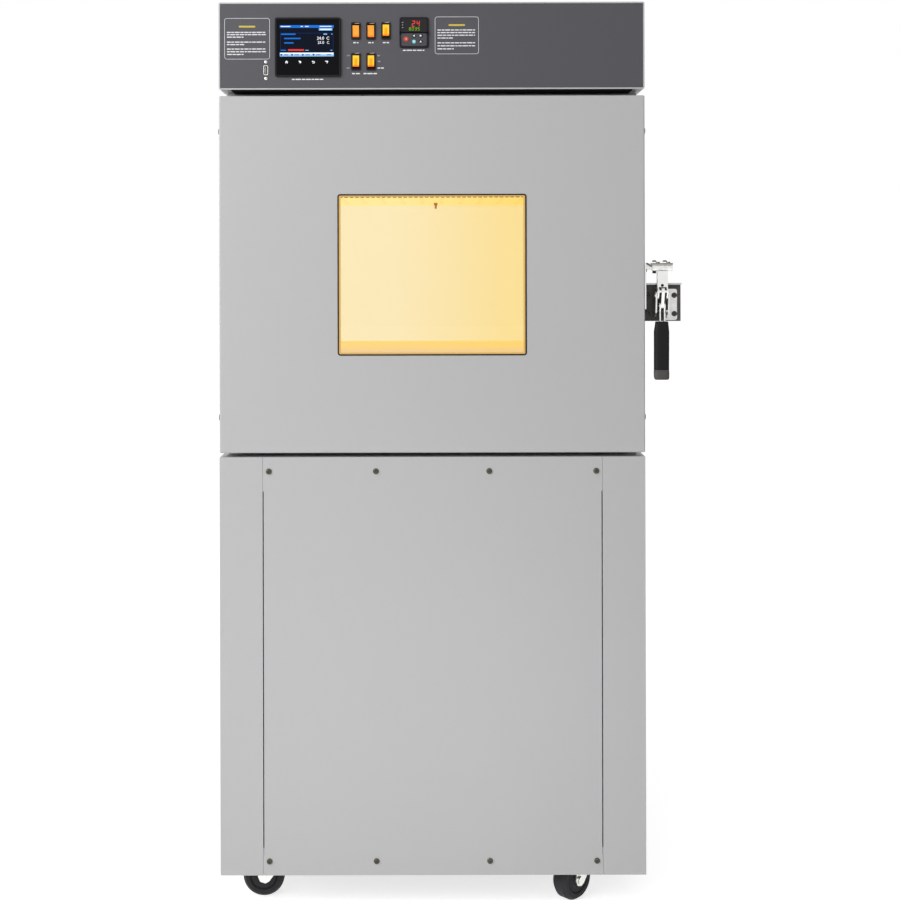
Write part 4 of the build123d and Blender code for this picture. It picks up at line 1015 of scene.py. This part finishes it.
def add_digit(mesh, digit, left, low, width, height, y, depth):
    """A seven-segment digit as separate bars with mitred ends."""
    thick = 0.12 * height
    gap = 0.02 * height
    half = height / 2
    nip = thick / 2
    slant = 0.09
    strokes = {"a": (0, height - thick, width, height),
               "b": (width - thick, half + gap, width, height - gap),
               "c": (width - thick, gap, width, half - gap),
               "d": (0, 0, width, thick),
               "e": (0, gap, thick, half - gap),
               "f": (0, half + gap, thick, height - gap),
               "g": (0, half - nip, width, half + nip)}
    for name in segments[digit]:
        x0, z0, x1, z1 = strokes[name]
        if x1 - x0 > z1 - z0:
            level = (z0 + z1) / 2
            points = [(x0 + gap, level), (x0 + nip, z0), (x1 - nip, z0),
                      (x1 - gap, level), (x1 - nip, z1), (x0 + nip, z1)]
        else:
            centre = (x0 + x1) / 2
            points = [(centre, z0), (x1, z0 + nip), (x1, z1 - nip),
                      (centre, z1), (x0, z1 - nip), (x0, z0 + nip)]
        add_slab(mesh, [(left + x + slant * z, low + z) for x, z in points], y, depth)


class CHAMBER_OT_limit_display(bpy.types.Operator):
    """Builds the limit controller's window, keypad, waist line, two rows of digits and key marks"""
    bl_idname = "chamber.limit_display"
    bl_label = "Limit display"

    def execute(self, context):
        low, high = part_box("limit_controller")
        x, z = (low.x + high.x) / 2, (low.z + high.z) / 2
        y = low.y
        depth = context.scene.chamber_sizes.print_depth
        inset, corner = 0.0035, 0.003
        window = bmesh.new()
        window_outline = rounded((low.x + inset, z + 0.0012), (high.x - inset, high.z - inset), corner)
        add_slab(window, window_outline, y - 0.0003, 0.0003)
        display = make_piece("limit_window", window, palette["display_black"], "cabinet")
        soften(display, 0.0001)
        pad = bmesh.new()
        pad_outline = rounded((low.x + inset, low.z + inset), (high.x - inset, z - 0.0018), corner)
        add_slab(pad, pad_outline, y - 0.00015, 0.0002)
        make_piece("limit_keypad", pad, palette["key_plastic"], "cabinet")
        self.waist(low, high, z)
        rows = (("red", "24", 0.0042, 0.0084, 0.0104, 0.0056, 0.0108),
                ("green", "8035", 0.0092, 0.0052, 0.0036, 0.0034, 0.0056))
        for tone, digits, back, pitch, up, width, height in rows:
            row = bmesh.new()
            for index, digit in enumerate(digits):
                add_digit(row, digit, x - back + index * pitch, z + up, width, height, y - 0.0005, depth)
            make_piece("limit_digits_" + tone, row, palette["digit_" + tone], "cabinet")
        print_marks = bmesh.new()
        for index in range(3):
            foot = z + 0.0085 + index * 0.0045
            add_bar(print_marks, (low.x + 0.0048, low.x + 0.0066), (foot, foot + 0.0009), y - 0.0004, depth)
        make_piece("limit_marks", print_marks, palette["print"], "cabinet")
        for name in ("key_left", "key_right", "key_down", "key_up", "key_reset"):
            self.key_mark(name, depth)
        return {"FINISHED"}

    def waist(self, low, high, z):
        """The dark line between the window and the keypad, with a notch at each end."""
        groove = bmesh.new()
        line = rounded((low.x + 0.0003, z - 0.0012), (high.x - 0.0003, z + 0.0006), 0.0004)
        add_slab(groove, line, low.y - 0.0004, 0.0006)
        half = 0.0009
        for side in (low.x + half, high.x - half):
            notch = rounded((side - half, z - 0.004), (side + half, z + 0.003), 0.0006)
            add_slab(groove, notch, low.y - 0.0007, 0.0008)
        make_piece("limit_waist", groove, palette["screen_black"], "cabinet")

    def key_mark(self, name, depth):
        """The small mark on a key's cap: a dot to reset, or an arrow that points its own way."""
        low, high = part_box(name)
        x, z, y = (low.x + high.x) / 2, (low.z + high.z) / 2, low.y
        size = 0.38 * (high.x - low.x)
        turns = {"key_left": 90, "key_right": -90, "key_down": 180, "key_up": 0}
        if name == "key_reset":
            size *= 0.5
            outline = rounded((x - size, z - size), (x + size, z + size), size * 0.99, 8)
        else:
            turn = Matrix.Rotation(math.radians(turns[name]), 2)
            points = [turn @ Vector(corner) * size for corner in ((-0.9, -0.6), (0.9, -0.6), (0.0, 0.9))]
            outline = [(x + point.x, z + point.y) for point in points]
        mark = bmesh.new()
        add_slab(mark, outline, y - depth, depth)
        finish = palette["reset_print" if name == "key_reset" else "print"]
        make_piece(name + "_mark", mark, finish, name)


class CHAMBER_OT_rockers(bpy.types.Operator):
    """Builds the amber rocker lenses with rounded edges, in place of the plain rockers, and painted
    highlights on the frames' top rims
    """
    bl_idname = "chamber.rockers"
    bl_label = "Rockers"

    def execute(self, context):
        glints = bmesh.new()
        fitting_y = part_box("panel_fittings")[0].y
        glint_rise = 0.0138
        for number in range(1, 6):
            name = f"rocker_{number}"
            self.rocker(name, "lens_lit" if number > 2 else "lens_idle")
            low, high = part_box(name)
            x, z = (low.x + high.x) / 2, (low.z + high.z) / 2 + glint_rise
            left, right = x - 0.002, x + 0.0062
            # Painted highlight: a pale slanted bar where light catches the frame's upper rim.
            rim = [(left, z), (right, z + 0.0002), (right, z + 0.0016), (left, z + 0.0008)]
            add_slab(glints, rim, fitting_y - 0.0001, 0.0002)
        make_piece("rocker_rim_glints", glints, palette["rim_plastic"], "cabinet")
        return {"FINISHED"}

    def rocker(self, name, finish):
        """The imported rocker's own outline with rounded edges, in the finish of a lens in a dark carrier."""
        cap = soften(make_piece(name + "_lens", welded(name), palette[finish], name), 0.0007, 3)
        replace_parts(cap, name)


class CHAMBER_OT_data_port(bpy.types.Operator):
    """Builds the data port's bright shell, its tongue and its two screws"""
    bl_idname = "chamber.data_port"
    bl_label = "Data port"

    def execute(self, context):
        x, z = middle - 0.2998, rise(0.035)
        y = face_low.y
        shell = bmesh.new()
        outer = rounded((x - 0.0041, z - 0.0088), (x + 0.0041, z + 0.0088), 0.0022)
        inner = rounded((x - 0.0030, z - 0.0076), (x + 0.0030, z + 0.0076), 0.0014)
        add_ring(shell, outer, inner, y - 0.0009, 0.006)
        soften(make_piece("port_shell", shell, palette["white_metal"], "cabinet"), 0.0003)
        tongue = bmesh.new()
        tongue_outline = rounded((x - 0.0012, z - 0.0062), (x + 0.0006, z + 0.0062), 0.0003)
        add_slab(tongue, tongue_outline, y + 0.0006, 0.005)
        make_piece("port_tongue", tongue, palette["rim_plastic"], "cabinet")
        screws = bmesh.new()
        half_pitch = 0.015
        for side in (-1, 1):
            add_cross_screw(screws, Vector((x, y, z + side * half_pitch)), 0.0029)
        make_piece("port_screws", screws, palette["zinc"], "cabinet")
        return {"FINISHED"}


class CHAMBER_OT_console_shade_strip(bpy.types.Operator):
    """Lines the console's overhang with a ribbed black strip as painted shade, and fits the small fasteners
    above the door
    """
    bl_idname = "chamber.console_seal"
    bl_label = "Console shade strip"

    def execute(self, context):
        body_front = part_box("upper_shell")[0].y
        # Painted shade: a ribbed black strip under the overhang in place of its shadow.
        strip = bmesh.new()
        top = console_low.z
        inset = 0.022
        ends = (console_low.x + inset, console_high.x - inset)
        add_slab(strip, oblong(ends, (top - 0.0012, top)), front + 0.003, body_front - front - 0.0035)
        for share in (0.15, 0.4, 0.65, 0.9):
            rib_y = front + share * (body_front - front)
            add_slab(strip, oblong(ends, (top - 0.0024, top - 0.001)), rib_y, 0.0025)
        make_piece("console_seal", strip, palette["seal"], "cabinet")
        fasteners = bmesh.new()
        fastener_z = door_high.z + 0.0045
        places = ((-0.351, 0.0026), (-0.206, 0.0022), (-0.128, 0.0036), (-0.038, 0.0022), (0.045, 0.0022))
        for x, radius in places:
            add_cross_screw(fasteners, Vector((middle + x, body_front, fastener_z)), radius)
        make_piece("deck_fasteners", fasteners, palette["bronze_screw"], "cabinet")
        return {"FINISHED"}


class CHAMBER_OT_screws(bpy.types.Operator):
    """Fits cross-recessed screws to the cabinet and the door"""
    bl_idname = "chamber.screws"
    bl_label = "Screws"

    def execute(self, context):
        for name, node, body in (("cabinet_screws", "body_screws", "cabinet"),
                                 ("door_edge_screws", "door_screws", "door")):
            fit_screws(name, node, body, palette["bronze_screw"])
        return {"FINISHED"}


class CHAMBER_OT_grip(bpy.types.Operator):
    """Builds the latch's moulded rubber grip, with its collar, flat sides and flared end"""
    bl_idname = "chamber.grip"
    bl_label = "Grip"

    def execute(self, context):
        low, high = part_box("clamp_grip")
        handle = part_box("clamp_handle")
        x = (handle[0].x + handle[1].x) / 2
        tall = high.z - low.z
        pivot_y = high.y - 0.013
        mm = 0.001
        bulge = 0.55
        # Share of the length from the top; shift across and back, half width across and back, in millimetres
        stations = ((0.0, -1.4, 0.0, 10.6, 5.4), (0.008, -1.4, 0.0, 11.6, 6.3), (0.1, -1.6, 0.0, 12.7, 7.9),
                    (0.17, -1.8, 0.0, 13.7, 8.9), (0.2, -1.8, 0.0, 13.7, 9.0), (0.5, -2.0, -0.7, 13.6, 9.4),
                    (0.8, -2.4, -2.2, 13.5, 9.6), (0.828, -2.4, -2.6, 13.6, 9.7),
                    (0.832, -2.4, -2.7, 13.2, 9.3), (0.838, -2.5, -2.8, 13.2, 9.3),
                    (0.842, -2.5, -2.9, 13.7, 9.8), (0.9, -2.6, -3.9, 13.8, 9.9),
                    (0.96, -2.7, -5.5, 13.6, 9.7), (0.985, -2.7, -6.2, 13.0, 9.0),
                    (1.0, -2.7, -6.6, 11.4, 7.4))
        mesh = bmesh.new()
        rings = []
        steps = 40
        for share, x_shift, y_shift, half_x, half_y in stations:
            ring = []
            for step in range(steps):
                angle = 2 * math.pi * step / steps
                dx = math.copysign(abs(math.cos(angle)) ** bulge, math.cos(angle)) * half_x + x_shift
                dy = math.copysign(abs(math.sin(angle)) ** bulge, math.sin(angle)) * half_y + y_shift
                ring.append(mesh.verts.new((x + mm * dx, pivot_y + mm * dy, high.z - share * tall)))
            rings.append(ring)
        for above, below in zip(rings, rings[1:]):
            for step in range(steps):
                after = (step + 1) % steps
                mesh.faces.new((above[step], above[after], below[after], below[step]))
        mesh.faces.new(list(reversed(rings[0])))
        mesh.faces.new(rings[-1])
        grip = make_piece("grip_rubber", mesh, palette["grip_rubber"], "clamp_handle", 60.0)
        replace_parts(grip, "clamp_grip")
        return {"FINISHED"}


class CHAMBER_OT_latch(bpy.types.Operator):
    """Adds the arm's front web and bolt, the cross bar's screws and nuts, and the keeper with its tongue"""
    bl_idname = "chamber.latch"
    bl_label = "Latch"

    def execute(self, context):
        arm_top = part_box("clamp_arm")[1].z
        bar_low, bar_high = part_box("clamp_presser")
        link_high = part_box("clamp_link")[1]
        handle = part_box("clamp_handle")
        x = (handle[0].x + handle[1].x) / 2
        half = 0.0094
        web_y = bar_low.y - 0.0007
        web = bmesh.new()
        foot = link_high.z + 0.0012
        add_slab(web, rounded((x - half, foot), (x + half, arm_top), 0.001), web_y, 0.0022)
        soften(make_piece("arm_web", web, palette["white_metal"], "clamp_arm"), 0.0004)
        bolts = bmesh.new()
        bolt = ((0.0, 0.0), (0.0026, 0.0), (0.0026, 0.0012), (0.0018, 0.0018), (0.0, 0.0018))
        head = ((0.0, 0.0), (0.0040, 0.0), (0.0040, 0.0012), (0.0026, 0.0026), (0.0, 0.0026))
        nut = ((0.0, 0.0), (0.0034, 0.0), (0.0034, 0.0044), (0.0, 0.0044))
        up = Vector((0, 0, 1))
        add_turned(bolts, bolt, facing(Vector((x - 0.0008, web_y, foot + 0.0032)), forward), 24)
        middle_y = (bar_low.y + bar_high.y) / 2
        for screw_x in (x - 0.0145, x + 0.0047):
            add_turned(bolts, head, facing(Vector((screw_x, middle_y, bar_high.z)), up), 24)
            add_turned(bolts, nut, facing(Vector((screw_x, middle_y, bar_low.z)), -up), 6)
        make_piece("presser_fasteners", bolts, palette["black_plastic"], "clamp_arm")
        self.keeper(bar_low, bar_high)
        return {"FINISHED"}

    def keeper(self, bar_low, bar_high):
        """Leaf on the door's side, a folded tongue, and the press plate behind the cross bar."""
        low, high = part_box("door_keeper")
        sheet = 0.0025
        leaf = bmesh.new()
        centre = Matrix.Translation((low.x + sheet / 2, (low.y + high.y) / 2, (low.z + high.z) / 2))
        spread = Matrix.Diagonal((sheet, high.y - low.y, high.z - low.z, 1.0))
        bmesh.ops.create_cube(leaf, size=1.0, matrix=centre @ spread)
        plate = rounded((low.x, bar_low.z + 0.002), (high.x - 0.001, bar_high.z - 0.002), 0.002)
        add_slab(leaf, plate, high.y - sheet, sheet)
        keeper = make_piece("keeper_leaf", leaf, palette["white_metal"], "door")
        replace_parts(soften(keeper, 0.0003), "door_keeper")
        tongue = bmesh.new()
        root = low.x + sheet
        end = bar_low.x - 0.0008
        fold = [(root, high.z - 0.0022), (root + 0.002, high.z - 0.0026), (end, high.z - 0.0075),
                (end, high.z - 0.0053), (root + 0.003, high.z - 0.0004), (root, high.z)]
        add_slab(tongue, fold, high.y - 0.008, 0.008)
        make_piece("keeper_tongue", tongue, palette["bronze_screw"], "door")


class CHAMBER_OT_stage(bpy.types.Operator):
    """Sets the pale floor, the soft studio light and the camera at the photograph's place"""
    bl_idname = "chamber.stage"
    bl_label = "Stage"

    def execute(self, context):
        scene = context.scene
        studio = scene.chamber_studio
        scene.view_settings.view_transform = "Standard"
        self.floor()
        self.world(scene, studio)
        self.lamp("key", (-2.6, -2.6, 2.5), (middle, 0.0, 0.95), 2.4, studio.key_power)
        self.lamp("fill", (middle, front - 0.75, 0.1), (middle, front, 0.12), 0.8, studio.fill_power)
        data = bpy.data.cameras.new("camera")
        data.sensor_width = 36.0
        data.lens = studio.lens
        data.shift_x = studio.across
        data.shift_y = studio.down
        camera = bpy.data.objects.new("camera", data)
        camera.location = (middle, front - studio.distance, studio.height)
        camera.rotation_euler = (math.radians(90), studio.roll, 0)
        scene.collection.objects.link(camera)
        scene.camera = camera
        return {"FINISHED"}

    def floor(self):
        """A wide pale floor that keeps the chamber's shadow and shows white to the camera."""
        glow = 0.72
        mesh = bmesh.new()
        bmesh.ops.create_grid(mesh, x_segments=8, y_segments=8, size=30.0)
        data = bpy.data.meshes.new("floor")
        mesh.to_mesh(data)
        mesh.free()
        made, tree, inputs = start_material("Pale floor", Roughness=0.9, Specular_IOR_Level=0.0)
        place = own_place(tree)
        tone = ranged(tree, noise(tree, place, 0.8), 0.0, 1.0, 0.79, 0.81)
        colour_out = add_node(tree, "ShaderNodeCombineColor", {"Red": tone, "Green": tone, "Blue": tone})
        tree.links.new(colour_out.outputs[0], inputs["Base Color"])
        rays = add_node(tree, "ShaderNodeLightPath").outputs
        seen = maths(tree, "MAXIMUM", rays["Is Camera Ray"], rays["Is Glossy Ray"])
        inputs["Emission Color"].default_value = (1, 1, 1, 1)
        tree.links.new(maths(tree, "MULTIPLY", seen, glow), inputs["Emission Strength"])
        floor = bpy.data.objects.new("floor", data)
        data.materials.append(made)
        bpy.context.scene.collection.objects.link(floor)

    def world(self, scene, studio):
        """Soft light from all round, white where the camera, metal or glass sees it."""
        world = bpy.data.worlds.new("studio")
        scene.world = world
        world.use_nodes = True
        tree = world.node_tree
        tree.nodes.clear()
        rays = add_node(tree, "ShaderNodeLightPath").outputs
        seen = maths(tree, "MAXIMUM", rays["Is Camera Ray"], rays["Is Glossy Ray"])
        seen = maths(tree, "MAXIMUM", seen, rays["Is Transmission Ray"])
        shown = add_node(tree, "ShaderNodeBackground", {"Color": (1, 1, 1, 1), "Strength": 1.0})
        lights = add_node(tree, "ShaderNodeBackground", {"Color": (1, 1, 1, 1), "Strength": studio.world})
        both = add_node(tree, "ShaderNodeMixShader", {0: seen, 1: lights.outputs[0], 2: shown.outputs[0]})
        add_node(tree, "ShaderNodeOutputWorld", {0: both.outputs[0]})

    def lamp(self, name, place, target, size, power):
        """A square soft lamp at a place, turned to its target."""
        data = bpy.data.lights.new(name, "AREA")
        data.shape = "SQUARE"
        data.size = size
        data.energy = power
        made = bpy.data.objects.new(name, data)
        made.location = place
        made.rotation_mode = "QUATERNION"
        made.rotation_quaternion = (Vector(place) - Vector(target)).to_track_quat("Z", "Y")
        bpy.context.scene.collection.objects.link(made)


operators = (
    CHAMBER_OT_finishes, CHAMBER_OT_console_prints, CHAMBER_OT_touch_screen, CHAMBER_OT_limit_display,
    CHAMBER_OT_rockers, CHAMBER_OT_data_port, CHAMBER_OT_console_shade_strip, CHAMBER_OT_screws, CHAMBER_OT_grip,
    CHAMBER_OT_latch, CHAMBER_OT_stage,
)


class CHAMBER_PT_looks(bpy.types.Panel):
    """Lists the steps that dress the chamber"""
    bl_idname = "CHAMBER_PT_looks"
    bl_label = "Climate chamber"
    bl_space_type = "VIEW_3D"
    bl_region_type = "UI"
    bl_category = "Chamber"

    def draw(self, context):
        for step in operators:
            self.layout.operator(step.bl_idname)


classes = (ChamberColours, ChamberSizes, StudioValues, *operators, CHAMBER_PT_looks)


def register():
    for item in classes:
        bpy.utils.register_class(item)
    bpy.types.Scene.chamber_colours = bpy.props.PointerProperty(type=ChamberColours)
    bpy.types.Scene.chamber_sizes = bpy.props.PointerProperty(type=ChamberSizes)
    bpy.types.Scene.chamber_studio = bpy.props.PointerProperty(type=StudioValues)


def unregister():
    del bpy.types.Scene.chamber_colours
    del bpy.types.Scene.chamber_sizes
    del bpy.types.Scene.chamber_studio
    for item in reversed(classes):
        bpy.utils.unregister_class(item)


def main():
    register()
    for step in operators:
        group, name = step.bl_idname.split(".")
        getattr(getattr(bpy.ops, group), name)()


if __name__ == "__main__":
    main()
